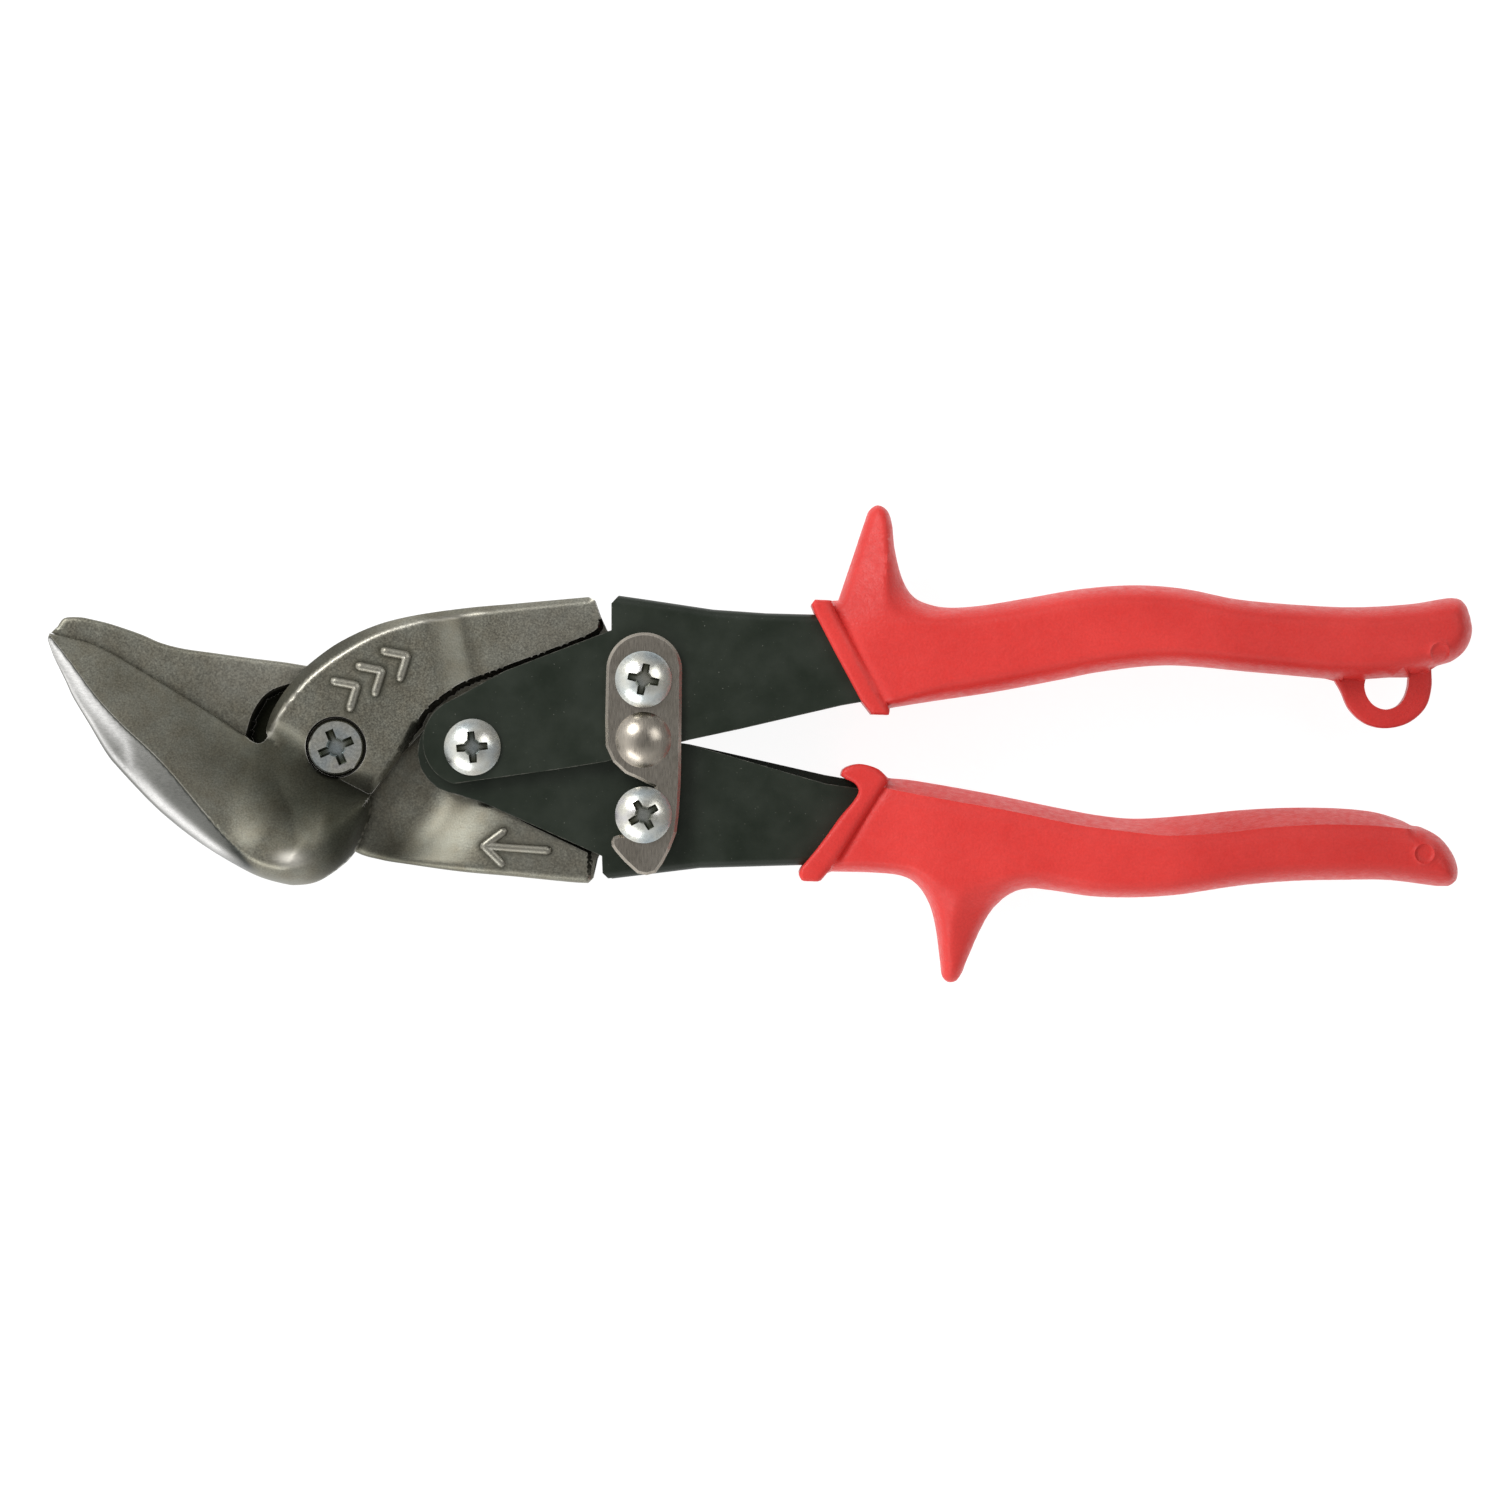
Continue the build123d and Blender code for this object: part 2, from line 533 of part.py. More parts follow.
def grip(top, bottom, end, mouth, horn, collar):
    """The moulded sleeve before its loop and its pocket are made."""
    with BuildPart() as sleeve:
        with BuildSketch(level(-GRIP_HALF)):
            with BuildLine():
                Spline(*top)
                ThreePointArc(top[-1], end, bottom[0])
                Spline(*bottom)
                Polyline(bottom[-1], *mouth, top[0])
            make_face()
        extrude(amount=2 * GRIP_HALF)
        rims = sleeve.edges().filter_by(lambda e: abs(abs(e.center().Z - SHEAR_Z) - GRIP_HALF) < 0.01)
        fillet(rims, 3.0)
        with BuildSketch(level(-HORN_HALF)):
            with BuildLine():
                Polyline(*horn, close=True)
            make_face()
        extrude(amount=2 * HORN_HALF)
        with BuildSketch(level(-COLLAR_HALF)):
            with BuildLine():
                Polyline(*collar, close=True)
            make_face()
        extrude(amount=2 * COLLAR_HALF)
    return sleeve.part


def envelope(shank, back, low, high):
    """The space a channel fills inside its grip."""
    outline = shank + [p for p in back if p[0] > shank[0][0]]
    with BuildPart() as space:
        with BuildSketch(level(low - POCKET_FIT)):
            with BuildLine():
                Polyline(*outline, close=True)
            make_face()
            offset(amount=POCKET_FIT, kind=Kind.INTERSECTION)
        extrude(amount=high - low + 2 * POCKET_FIT)
    return space.part


with BuildPart() as upper_grip:
    add(grip(UPPER_TOP, UPPER_BOTTOM, (117.5, 18.4), [(13.0, 22.4)], UPPER_HORN, UPPER_COLLAR))
    with BuildSketch(level(-LOOP_HALF)):
        with BuildLine():
            Line((110.7, 14.0), (110.7, 9.6))
            ThreePointArc((110.7, 9.6), (103.2, 2.4), (95.8, 9.6))
            Line((95.8, 9.6), (95.8, 14.0))
            Line((95.8, 14.0), (110.7, 14.0))
        make_face()
        with BuildLine():
            Polyline(*LOOP_HOLE, close=True)
        make_face(mode=Mode.SUBTRACT)
    extrude(amount=2 * LOOP_HALF)
    add(envelope(UPPER_SHANK, UPPER_BACK, rear_inner, FRONT_OUTER), mode=Mode.SUBTRACT)

with BuildPart() as lower_grip:
    add(grip(LOWER_TOP, LOWER_BOTTOM, (114.9, -20.5), [], LOWER_HORN, LOWER_COLLAR))
    add(envelope(LOWER_SHANK_REAR, LOWER_BACK, -FRONT_OUTER, FRONT_INNER), mode=Mode.SUBTRACT)

pieces = {
    "front_jaw": front_jaw.part,
    "rear_jaw": rear_jaw.part,
    "jaw_pivot_bolt": jaw_pivot_bolt.part,
    "jaw_pivot_washer": jaw_pivot_washer,
    "jaw_pivot_nut": jaw_pivot_nut,
    "upper_handle": upper_handle.part,
    "lower_handle": lower_handle.part,
    "handle_pivot_bolt": handle_pivot_bolt,
    "handle_pivot_nut": handle_pivot_nut,
    "handle_pivot_bushing": handle_pivot_bushing,
    "return_spring": return_spring.part,
    "upper_link_bolt": upper_link_bolt,
    "upper_link_nut": upper_link_nut,
    "upper_link_spacer": upper_link_spacer,
    "lower_link_bolt": lower_link_bolt,
    "lower_link_nut": lower_link_nut,
    "lower_link_spacer": lower_link_spacer,
    "keeper_collar": keeper_collar,
    "latch_plate": latch_plate.part,
    "latch_wave_washer": latch_wave_washer,
    "upper_grip": upper_grip.part,
    "lower_grip": lower_grip.part,
}
for name, piece in pieces.items():
    piece.label = name
    export_step(piece, f"parts/{name}.step")
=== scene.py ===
"""Looks for a pair of offset aviation snips: forged jaws, painted channels, vinyl grips.

Shapes are written in millimetres in the row frame, with heights counted from the shear plane,
and turned into metres when a mesh is made.
"""

import math

import bpy
import numpy as np
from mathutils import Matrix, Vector
from mathutils.geometry import delaunay_2d_cdt


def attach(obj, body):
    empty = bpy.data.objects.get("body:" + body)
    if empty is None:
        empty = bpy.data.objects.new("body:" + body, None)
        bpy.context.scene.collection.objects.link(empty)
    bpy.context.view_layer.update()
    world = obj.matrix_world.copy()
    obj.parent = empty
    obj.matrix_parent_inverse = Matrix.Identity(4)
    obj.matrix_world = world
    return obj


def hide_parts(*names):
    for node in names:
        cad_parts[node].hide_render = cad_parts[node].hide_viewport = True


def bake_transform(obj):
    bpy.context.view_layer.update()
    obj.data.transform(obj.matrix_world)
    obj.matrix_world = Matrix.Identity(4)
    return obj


SHEAR_Z = 11.0
JAW_PIVOT = (-69.7, -0.6)
HANDLE_PIVOT = (-47.2, -0.6)
UPPER_LINK = (-19.1, 10.5)
LOWER_LINK = (-19.1, -11.7)
JAW_PIN_HOLE = 3.1
FRONT_TAIL_HOLE = 2.6
REAR_TAIL_HOLE = 2.8
BORE_R = 4.97
WASHER_R = 5.4
POCKET_START = -60.0
SHARP_ANGLE = 42
SEAT_H = 3.4
TAIL_HALF = 2.8
TAIL_REAR_H = 4.2
SPRING_ROOM_R = 8.3
EYE_R = 7.2
SWEEP_R = 17.4
TINY = 1e-6

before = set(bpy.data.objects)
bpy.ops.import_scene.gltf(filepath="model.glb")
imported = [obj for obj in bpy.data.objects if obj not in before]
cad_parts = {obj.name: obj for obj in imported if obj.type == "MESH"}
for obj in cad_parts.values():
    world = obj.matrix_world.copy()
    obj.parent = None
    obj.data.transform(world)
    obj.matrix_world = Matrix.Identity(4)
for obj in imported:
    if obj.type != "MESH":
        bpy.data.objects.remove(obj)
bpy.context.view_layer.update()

# ---------------- camera, world and lamps

scene = bpy.context.scene
scene.view_settings.view_transform = "Standard"
scene.view_settings.look = "None"

CAMERA_HEIGHT = 1.3
PICTURE_WIDTH = 0.2472
AIM = (-0.00165, -0.00107)
SCALE_PLANE = 0.013
cam_data = bpy.data.cameras.new("camera")
cam_data.sensor_width = 36.0
cam_data.lens = 36.0 * (CAMERA_HEIGHT - SCALE_PLANE) / PICTURE_WIDTH
cam_data.clip_start = 0.01
cam_data.clip_end = 20.0
camera = bpy.data.objects.new("camera", cam_data)
camera.location = (AIM[0], AIM[1], CAMERA_HEIGHT)
scene.collection.objects.link(camera)
scene.camera = camera

world = bpy.data.worlds.new("studio")
world.use_nodes = True
scene.world = world


def node(tree, kind, inputs=None, **settings):
    """Adds a shader node: inputs are values or the sockets that feed it."""
    made = tree.nodes.new("ShaderNode" + kind)
    for key, value in settings.items():
        setattr(made, key, value)
    for key, value in (inputs or {}).items():
        if isinstance(value, bpy.types.NodeSocket):
            tree.links.new(value, made.inputs[key])
        else:
            made.inputs[key].default_value = value
    return made


def ramp(tree, factor, stops, interpolation="LINEAR"):
    """A colour ramp: stops are (place, value) or (place, (r, g, b))."""
    made = node(tree, "ValToRGB", {"Fac": factor})
    band = made.color_ramp
    band.interpolation = interpolation
    while len(band.elements) < len(stops):
        band.elements.new(0.5)
    for element, (place, value) in zip(band.elements, stops):
        element.position = place
        rgb = value if isinstance(value, tuple) else (value, value, value)
        element.color = (*rgb, 1.0)
    return made.outputs["Color"]


# A dim zenith, a bright ring half way down and a paler horizon, brighter on the left than on the right.
sky = world.node_tree
direction = node(sky, "TexCoord").outputs["Generated"]
bearing = node(sky, "SeparateXYZ", {"Vector": direction})
right = (1.0, 0.35, 0.0)
aside = node(sky, "VectorMath", {0: direction, 1: right}, operation="DOT_PRODUCT").outputs["Value"]
SKY_STOPS = [(0.0, 0.80), (0.30, 0.95), (0.55, 1.20), (0.80, 0.80), (0.97, 0.40)]
tone = ramp(sky, bearing.outputs["Z"], SKY_STOPS, "EASE")
leftness = node(sky, "MapRange", {
    "Value": aside, "From Min": -0.8, "From Max": 0.8, "To Min": 1.35, "To Max": 0.45,
})
light = {0: tone, "Scale": leftness.outputs["Result"]}
tone = node(sky, "VectorMath", light, operation="SCALE").outputs["Vector"]
sky.links.new(tone, sky.nodes["Background"].inputs["Color"])
sky.nodes["Background"].inputs["Strength"].default_value = 0.78


def lamp(name, location, size, power):
    """A soft box aimed at the middle of the object."""
    light = bpy.data.lights.new(name, "AREA")
    light.shape = "RECTANGLE"
    light.size, light.size_y = size
    light.energy = power
    holder = bpy.data.objects.new(name, light)
    holder.location = location
    holder.rotation_mode = "QUATERNION"
    holder.rotation_quaternion = (-Vector(location)).to_track_quat("-Z", "Y")
    scene.collection.objects.link(holder)


lamp("key", (-0.50, 0.50, 0.62), (0.40, 0.40), 4.2)
lamp("fill", (0.55, 0.30, 0.75), (0.50, 0.40), 1.6)
lamp("low", (-0.35, -0.55, 0.35), (0.50, 0.20), 1.4)

# ---------------- plane geometry helpers


def spline(points, step=0.5):
    """Points along a Catmull-Rom curve through the given ones."""
    p = np.asarray(points, float)
    out = []
    for i in range(len(p) - 1):
        b, c = p[i], p[i + 1]
        a = p[i - 1] if i else 2 * b - c
        d = p[i + 2] if i + 2 < len(p) else 2 * c - b
        n = max(1, int(np.linalg.norm(c - b) / step))
        t = (np.arange(n) / n)[:, None]
        square, cube = 2 * a - 5 * b + 4 * c - d, 3 * b - a - 3 * c + d
        out.append(0.5 * (2 * b + (c - a) * t + square * t**2 + cube * t**3))
    return np.vstack(out + [p[-1:]])


def arc(center, radius, start, end, step=4.0):
    """Points on an arc between two angles in degrees, in the direction from start to end."""
    n = max(2, int(abs(end - start) / step))
    a = np.radians(np.linspace(start, end, n + 1))
    return np.stack([center[0] + radius * np.cos(a), center[1] + radius * np.sin(a)], 1)


def even(outline, step):
    """A closed outline resampled at an even step, keeping its corners."""
    p = np.asarray(outline, float)
    out = []
    for i in range(len(p)):
        a, b = p[i], p[(i + 1) % len(p)]
        n = max(1, int(round(np.linalg.norm(b - a) / step)))
        out.append(a + (b - a) * (np.arange(n) / n)[:, None])
    return np.vstack(out)


def along_line(line, step):
    """An open polyline resampled at an even step."""
    p = np.asarray(line, float)
    run = np.concatenate([[0.0], np.cumsum(np.linalg.norm(np.diff(p, axis=0), axis=1))])
    n = max(2, int(run[-1] / step) + 1)
    t = np.linspace(0, run[-1], n)
    return np.stack([np.interp(t, run, p[:, 0]), np.interp(t, run, p[:, 1])], 1)


def near(x, y, line, closed=False):
    """Distance to a polyline, and the share of its length at the nearest point."""
    p = np.asarray(line, float)
    q = np.vstack([p, p[:1]]) if closed else p
    lengths = np.linalg.norm(np.diff(q, axis=0), axis=1)
    run = np.concatenate([[0.0], np.cumsum(lengths)])
    best = np.full(len(x), 1e9)
    share = np.zeros(len(x))
    for i, length in enumerate(lengths):
        if length < 1e-9:
            continue
        ax, ay = q[i]
        ux, uy = (q[i + 1] - q[i]) / length
        t = np.clip((x - ax) * ux + (y - ay) * uy, 0, length)
        d = np.hypot(x - ax - t * ux, y - ay - t * uy)
        hit = d < best
        best[hit] = d[hit]
        share[hit] = (run[i] + t[hit]) / run[-1]
    return best, share


def inside(x, y, outline):
    p = np.asarray(outline, float)
    result = np.zeros(len(x), bool)
    ax, ay = p[-1]
    for bx, by in p:
        cross = (by > y) != (ay > y)
        with np.errstate(divide="ignore", invalid="ignore"):
            result ^= cross & (x < (ax - bx) * (y - by) / (ay - by) + bx)
        ax, ay = bx, by
    return result


def depth(x, y, outline):
    """Distance from the outline, positive inside it."""
    d, _ = near(x, y, outline, closed=True)
    return np.where(inside(x, y, outline), d, -d)


def smooth(low, high, value):
    t = np.clip((value - low) / (high - low), 0, 1)
    return t * t * (3 - 2 * t)


def mix(a, b, t):
    return a + (b - a) * t


def hump(value, center, width):
    return np.exp(-(((value - center) / width) ** 2))


def share_of(part, other):
    """How far part has run of the way made up by part and other."""
    return part / np.maximum(part + other, TINY)


def from_jaw_pivot(x, y):
    return np.hypot(x - JAW_PIVOT[0], y - JAW_PIVOT[1])


def soft_max(a, b, width):
    h = np.clip(0.5 + 0.5 * (a - b) / width, 0, 1)
    return mix(b, a, h) + width * h * (1 - h)


def soft_min(a, b, width):
    return -soft_max(-a, -b, width)


def rounding(d, radius):
    """How far a surface falls at distance d from an edge rounded by this radius."""
    t = np.clip(1 - d / radius, 0, 1)
    return radius * (1 - np.sqrt(np.maximum(0, 1 - t * t)))


# ---------------- relief meshes


def beside(line, gap, closed=False):
    """The line moved sideways by a gap, to its left when the gap is positive."""
    p = np.asarray(line, float)
    along = np.roll(p, -1, 0) - np.roll(p, 1, 0) if closed else np.gradient(p, axis=0)
    along /= np.maximum(np.linalg.norm(along, axis=1), 1e-9)[:, None]
    return p + np.stack([-along[:, 1], along[:, 0]], 1) * gap


def pair(line, gap):
    """Two lines close on each side of a step, so that the step comes out crisp."""
    return [beside(line, gap), beside(line, -gap)]


def made_piece(name, places, polys):
    """A smooth-shaded piece from points in millimetres, counted from the shear plane."""
    places[:, 2] += SHEAR_Z
    mesh = bpy.data.meshes.new(name)
    mesh.from_pydata((places / 1000).tolist(), [], polys)
    mesh.validate()
    mesh.update()
    mesh.polygons.foreach_set("use_smooth", [True] * len(mesh.polygons))
    piece = bpy.data.objects.new(name, mesh)
    scene.collection.objects.link(piece)
    return piece


def in_piece(points, loops):
    """Distance into the piece from its nearest border: the first loop is its rim, the rest are holes."""
    x, y = points[:, 0], points[:, 1]
    return np.min([depth(x, y, loops[0])] + [-depth(x, y, hole) for hole in loops[1:]], axis=0)


def relief(name, outline, front, back, spacing, holes=(), rings=(0.12, 0.3, 0.6), features=()):
    """A solid piece from its outline, with a height for each point of its front and back."""
    rim = even(outline, spacing)
    loops = [rim] + [np.asarray(h, float) for h in holes]
    low, high = rim.min(0), rim.max(0)
    gx, gy = np.meshgrid(
        np.arange(low[0], high[0], spacing), np.arange(low[1], high[1], spacing * 0.866)
    )
    gx = gx + (np.arange(gx.shape[0]) % 2)[:, None] * spacing / 2
    grid = np.stack([gx.ravel(), gy.ravel()], 1)
    clear = in_piece(grid, loops) > rings[-1] + spacing * 0.45
    drawn = []
    for line in features:
        spots = along_line(line, spacing * 0.8)
        spots = spots[in_piece(spots, loops) > 0.08]
        if len(spots) > 1:
            drawn.append(spots)
            clear &= near(grid[:, 0], grid[:, 1], line)[0] > spacing * 0.5
    points = [grid[clear]] + drawn
    for ring in rings:
        for number, loop in enumerate(loops):
            following = np.roll(loop, -1, 0)
            area = np.sum(loop[:, 0] * following[:, 1] - following[:, 0] * loop[:, 1])
            sign = (1 if area > 0 else -1) * (1 if number == 0 else -1)
            cloud = beside(loop, sign * ring, closed=True)
            points.append(cloud[in_piece(cloud, loops) > ring * 0.85])
    every = np.vstack(loops + points)
    borders, start = [], 0
    for loop in loops:
        n = len(loop)
        borders += [(start + i, start + (i + 1) % n) for i in range(n)]
        start += n
    verts, _, faces, _, _, _ = delaunay_2d_cdt([Vector(p) for p in every], borders, [], 1, 1e-7)
    flat = np.array([tuple(v) for v in verts])
    tris = np.array([f for f in faces if len(f) == 3])
    tris = tris[in_piece(flat[tris].mean(1), loops) > 0]
    a, b, c = flat[tris[:, 0]], flat[tris[:, 1]], flat[tris[:, 2]]
    turn = (b - a)[:, 0] * (c - a)[:, 1] - (b - a)[:, 1] * (c - a)[:, 0]
    tris[turn < 0] = tris[turn < 0][:, ::-1]
    tris = tris[np.abs(turn) > 1e-9]
    x, y = flat[:, 0], flat[:, 1]
    top, bottom = front(x, y), back(x, y)
    count = len(flat)
    sides = dict.fromkeys((tri[i], tri[(i + 1) % 3]) for tri in tris.tolist() for i in range(3))
    walls = [e for e in sides if (e[1], e[0]) not in sides]
    used = sorted({i for e in walls for i in e})
    steps = 6
    index = {}
    column = []
    for i in used:
        for s in range(1, steps):
            index[(i, s)] = 2 * count + len(column)
            column.append((x[i], y[i], mix(top[i], bottom[i], s / steps)))
    co = np.vstack([np.stack([x, y, top], 1), np.stack([x, y, bottom], 1), column])

    def corner(i, s):
        if s == 0:
            return i
        return i + count if s == steps else index[(i, s)]

    polys = [tuple(t) for t in tris.tolist()]
    polys += [(c + count, b + count, a + count) for a, b, c in tris.tolist()]
    for i, j in walls:
        for s in range(steps):
            polys.append((corner(i, s), corner(i, s + 1), corner(j, s + 1), corner(j, s)))
    piece = made_piece(name, co, polys)
    piece.data.set_sharp_from_angle(angle=math.radians(SHARP_ANGLE))
    return piece


def paint(piece, name, values):
    """Stores a value for each vertex, by place, for the material to read."""
    co = np.zeros(len(piece.data.vertices) * 3)
    piece.data.vertices.foreach_get("co", co)
    co = co.reshape(-1, 3) * 1000
    layer = piece.data.attributes.new(name, "FLOAT", "POINT")
    layer.data.foreach_set("value", values(co[:, 0], co[:, 1], co[:, 2] - SHEAR_Z).astype(np.float32))


# ---------------- front jaw

CUT_EDGE = spline([
    (-117.2, 18.2), (-109.4, 16.1), (-100.9, 11.3), (-95.4, 8.0), (-89.8, 4.5), (-84.9, 1.4),
    (-81.6, 0.9), (-75.8, -2.2), (-69.2, -5.8), (-64.1, -8.5),
])
RIDGE = spline([
    (-117.0, 17.8), (-113.3, 13.2), (-109.0, 7.6), (-104.6, 3.0), (-101.0, -0.2), (-97.3, -3.8),
    (-94.0, -7.6), (-90.7, -11.5), (-87.1, -15.4), (-83.8, -17.9), (-80.8, -19.0), (-77.5, -19.3),
    (-73.0, -18.0), (-69.6, -15.0), (-66.6, -10.4),
])
OUTER = spline([
    (-117.5, 17.2), (-116.5, 14.4), (-114.5, 10.3), (-113.2, 7.5), (-110.6, 3.2), (-107.8, -1.5),
    (-105.7, -4.1), (-100.6, -9.5), (-96.8, -12.9), (-93.0, -15.8), (-89.2, -18.3), (-84.6, -20.9),
    (-81.6, -22.2), (-78.2, -23.1), (-76.1, -23.3),
    (-72.8, -22.7), (-69.0, -20.2), (-66.9, -18.0), (-65.6, -15.4), (-64.4, -12.4), (-63.9, -9.3),
])
STRIP = np.vstack([RIDGE, OUTER[::-1]])
BLADE = np.vstack([OUTER, CUT_EDGE[::-1]])
CUT_FREE = CUT_EDGE[CUT_EDGE[:, 0] < -84.6]
BLADE_LIP = np.vstack([CUT_FREE[::-1], OUTER])
BOSS_ARC = spline([
    (-81.4, 2.3), (-80.5, 5.0), (-78.6, 8.2), (-75.9, 11.5), (-73.1, 14.0), (-69.2, 16.7), (-63.9, 19.2),
    (-58.2, 20.8), (-49.3, 22.2), (-40.5, 23.0), (-31.6, 23.8), (-28.2, 24.1),
])
BOSS_RIGHT = [(-64.1, -8.6), (-58.8, -1.6), (-56.4, 3.0)]
VALLEY = CUT_EDGE[CUT_EDGE[:, 0] > -82.5]
EYE = arc(UPPER_LINK, EYE_R, 90, -95)
SPRING_ROOM = arc(HANDLE_PIVOT, SPRING_ROOM_R, 92, 156)
TAIL_END = [(-27.2, 23.6), (-26.3, 21.0), (-25.2, 18.6), (-22.5, 17.6)]

FRONT_OUTLINE = np.vstack([
    OUTER, BOSS_RIGHT[:2], SPRING_ROOM[::-1], [(-34.0, 6.4), (-24.0, 4.4)], EYE[::-1],
    TAIL_END[::-1], BOSS_ARC[::-1], spline([(-81.0, 1.2), (-81.7, 0.3), (-82.8, 0.0), (-84.0, 0.6)]),
    CUT_FREE[::-1],
])
BOSS_FACE = np.vstack([
    BOSS_ARC, TAIL_END, [(-22, 8), (-40, 9)], SPRING_ROOM, BOSS_RIGHT[::-1], [(-81.6, 0.9)],
])
POCKET = np.vstack([
    spline([
        (-58.8, -1.4), (-58.0, 0.6), (-56.5, 3.0), (-54.5, 5.8), (-51.3, 8.3), (-48.3, 10.1), (-41.9, 12.5),
        (-33.0, 15.8), (-27.0, 18.4), (-26.5, 20.4),
    ]),
    [(-15.0, 21.0), (-9.0, 12.0), (-14.0, -2.0), (-46.0, -9.9)],
])


TIP = np.array((-117.2, 18.0))
HEEL_END = np.array((-67.0, -16.0))


def blade_run(x, y):
    """Share of the way from the tip of the blade to its heel."""
    run = HEEL_END - TIP
    return np.clip(((x - TIP[0]) * run[0] + (y - TIP[1]) * run[1]) / (run @ run), 0, 1)


def valley_height(u):
    """Height of the inner edge of the blade, which meets the boss in a soft valley."""
    return np.interp(u, [0, 0.3, 0.5, 0.62, 0.75, 1], [1.0, 1.2, 2.0, 3.6, 4.5, 4.5])


def front_blade_height(x, y):
    """The blade: a hollow climb from the cutting edge to the ridge, then the polished fall."""
    to_cut, _ = near(x, y, CUT_EDGE)
    to_ridge, _ = near(x, y, RIDGE)
    to_outer, _ = near(x, y, OUTER)
    u = blade_run(x, y)
    edge_z = valley_height(u)
    ridge_z = np.interp(
        u, [0, 0.16, 0.30, 0.44, 0.56, 0.68, 0.80, 0.90, 1],
        [1.4, 4.2, 6.4, 8.4, 9.8, 11.0, 11.9, 12.3, 11.6],
    )
    rim_z = np.interp(u, [0, 0.3, 0.6, 0.85, 1], [1.0, 1.9, 3.0, 4.2, 4.6])
    climb = share_of(to_cut, to_ridge)
    hollow = np.interp(u, [0, 0.5, 0.8, 1], [1.0, 1.2, 1.6, 1.6])
    inner = mix(edge_z, ridge_z, climb**hollow)
    fall = share_of(to_outer, to_ridge)
    outer = mix(rim_z, ridge_z, fall ** np.interp(u, [0, 0.5, 0.8, 1], [0.78, 0.66, 0.52, 0.5]))
    is_outer = inside(x, y, STRIP) | (to_outer < 0.02)
    height = np.where(is_outer, outer, inner)
    across = share_of(to_cut, to_outer)
    crest = np.interp(
        u, [0.60, 0.68, 0.75, 0.826, 0.886, 0.937, 0.96],
        [0.74, 0.78, 0.83, 0.84, 0.82, 0.75, 0.69],
    )
    rising = edge_z + (ridge_z - edge_z) * np.sin(math.pi / 2 * np.clip(across / crest, 0, 1)) ** 1.3
    past = np.clip((across - crest) / (1 - crest), 0, 1)
    falling = rim_z + (ridge_z - rim_z) * np.sqrt(np.maximum(0, 1 - past**2.2))
    bulge = np.where(across < crest, rising, falling)
    return mix(height, bulge, smooth(0.64, 0.80, u))


def rim_band(along):
    """Width of the steep band round the boss."""
    return np.interp(along, [0, 0.05, 0.12, 0.30, 0.55, 1], [1.1, 1.5, 1.9, 2.1, 1.3, 0.9])


def front_jaw_front(x, y):
    blade = front_blade_height(x, y)
    blade_edge, _ = near(x, y, BLADE_LIP)
    to_face = depth(x, y, BOSS_FACE)
    to_arc, along = near(x, y, BOSS_ARC)
    band = rim_band(along)
    fall = np.interp(along, [0, 0.35, 0.55, 1], [3.6, 2.6, 1.3, 0.8])
    level = mix(6.2, 5.0, smooth(-54.5, -47.5, x + 0.18 * (y - 14)))
    level -= 0.45 * hump(x + 0.25 * (y - 14), -47.0, 2.6) * (y > 8)
    face = level - fall * np.clip(1 - to_arc / band, 0, 1) ** 1.15
    right, _ = near(x, y, BOSS_RIGHT)
    face -= 1.6 * np.clip(1 - right / 1.1, 0, 1) ** 1.3 * smooth(-8.6, -5.5, y)
    to_valley, _ = near(x, y, VALLEY)
    floor_z = valley_height(blade_run(x, y))
    face = mix(face, np.minimum(face, floor_z), hump(to_valley, 0, 2.6))
    in_blade = inside(x, y, BLADE) | (blade_edge < 0.05)
    height = np.where(in_blade, blade, np.where(to_face > -0.3, face, blade))
    pocket = depth(x, y, POCKET)
    cut = mix(height, np.minimum(height, TAIL_HALF), smooth(-0.05, 0.55, pocket))
    height = np.where(x > POCKET_START, cut, height)
    bore = from_jaw_pivot(x, y)
    height = mix(SEAT_H, height, smooth(BORE_R - 0.06, BORE_R + 0.06, bore))
    height -= 0.22 * rounding(np.maximum(bore - BORE_R, 0), 0.5)
    height -= 0.5 * rounding(blade_edge, 0.35) * (x < -64)
    return height


def jaw_back(x, y, tail_line, pocket):
    """The hidden side of a jaw: flat at the shear plane, thick again past the sweep of the other."""
    reach = from_jaw_pivot(x, y)
    thick = smooth(SWEEP_R + 0.1, SWEEP_R + 1.2, reach) * tail_line
    low = mix(0.05, TAIL_REAR_H, thick)
    recess = smooth(-0.05, 0.5, depth(x, y, pocket)) * (x > POCKET_START)
    return -mix(low, np.minimum(low, TAIL_HALF), recess)


def front_jaw_back(x, y):
    tail_side = smooth(-58.4, -57.4, x) * (y > 2.0)
    return jaw_back(x, y, tail_side, POCKET)


BORE_RINGS = pair(arc(JAW_PIVOT, BORE_R, 0, 360, 6), 0.07)
REAR_BORE_RINGS = pair(arc(JAW_PIVOT, WASHER_R, 0, 360, 6), 0.1)
front_jaw = relief(
    "jaw_front_forged", FRONT_OUTLINE, front_jaw_front, front_jaw_back, 0.42,
    holes=[arc(JAW_PIVOT, JAW_PIN_HOLE, 0, 355, 9), arc(UPPER_LINK, FRONT_TAIL_HOLE, 0, 352, 9)],
    features=[RIDGE[RIDGE[:, 0] < -90.0], *pair(POCKET[:-4], 0.25), *BORE_RINGS, VALLEY],
)
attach(front_jaw, "front_jaw_body")
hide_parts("front_jaw")

# ---------------- rear jaw

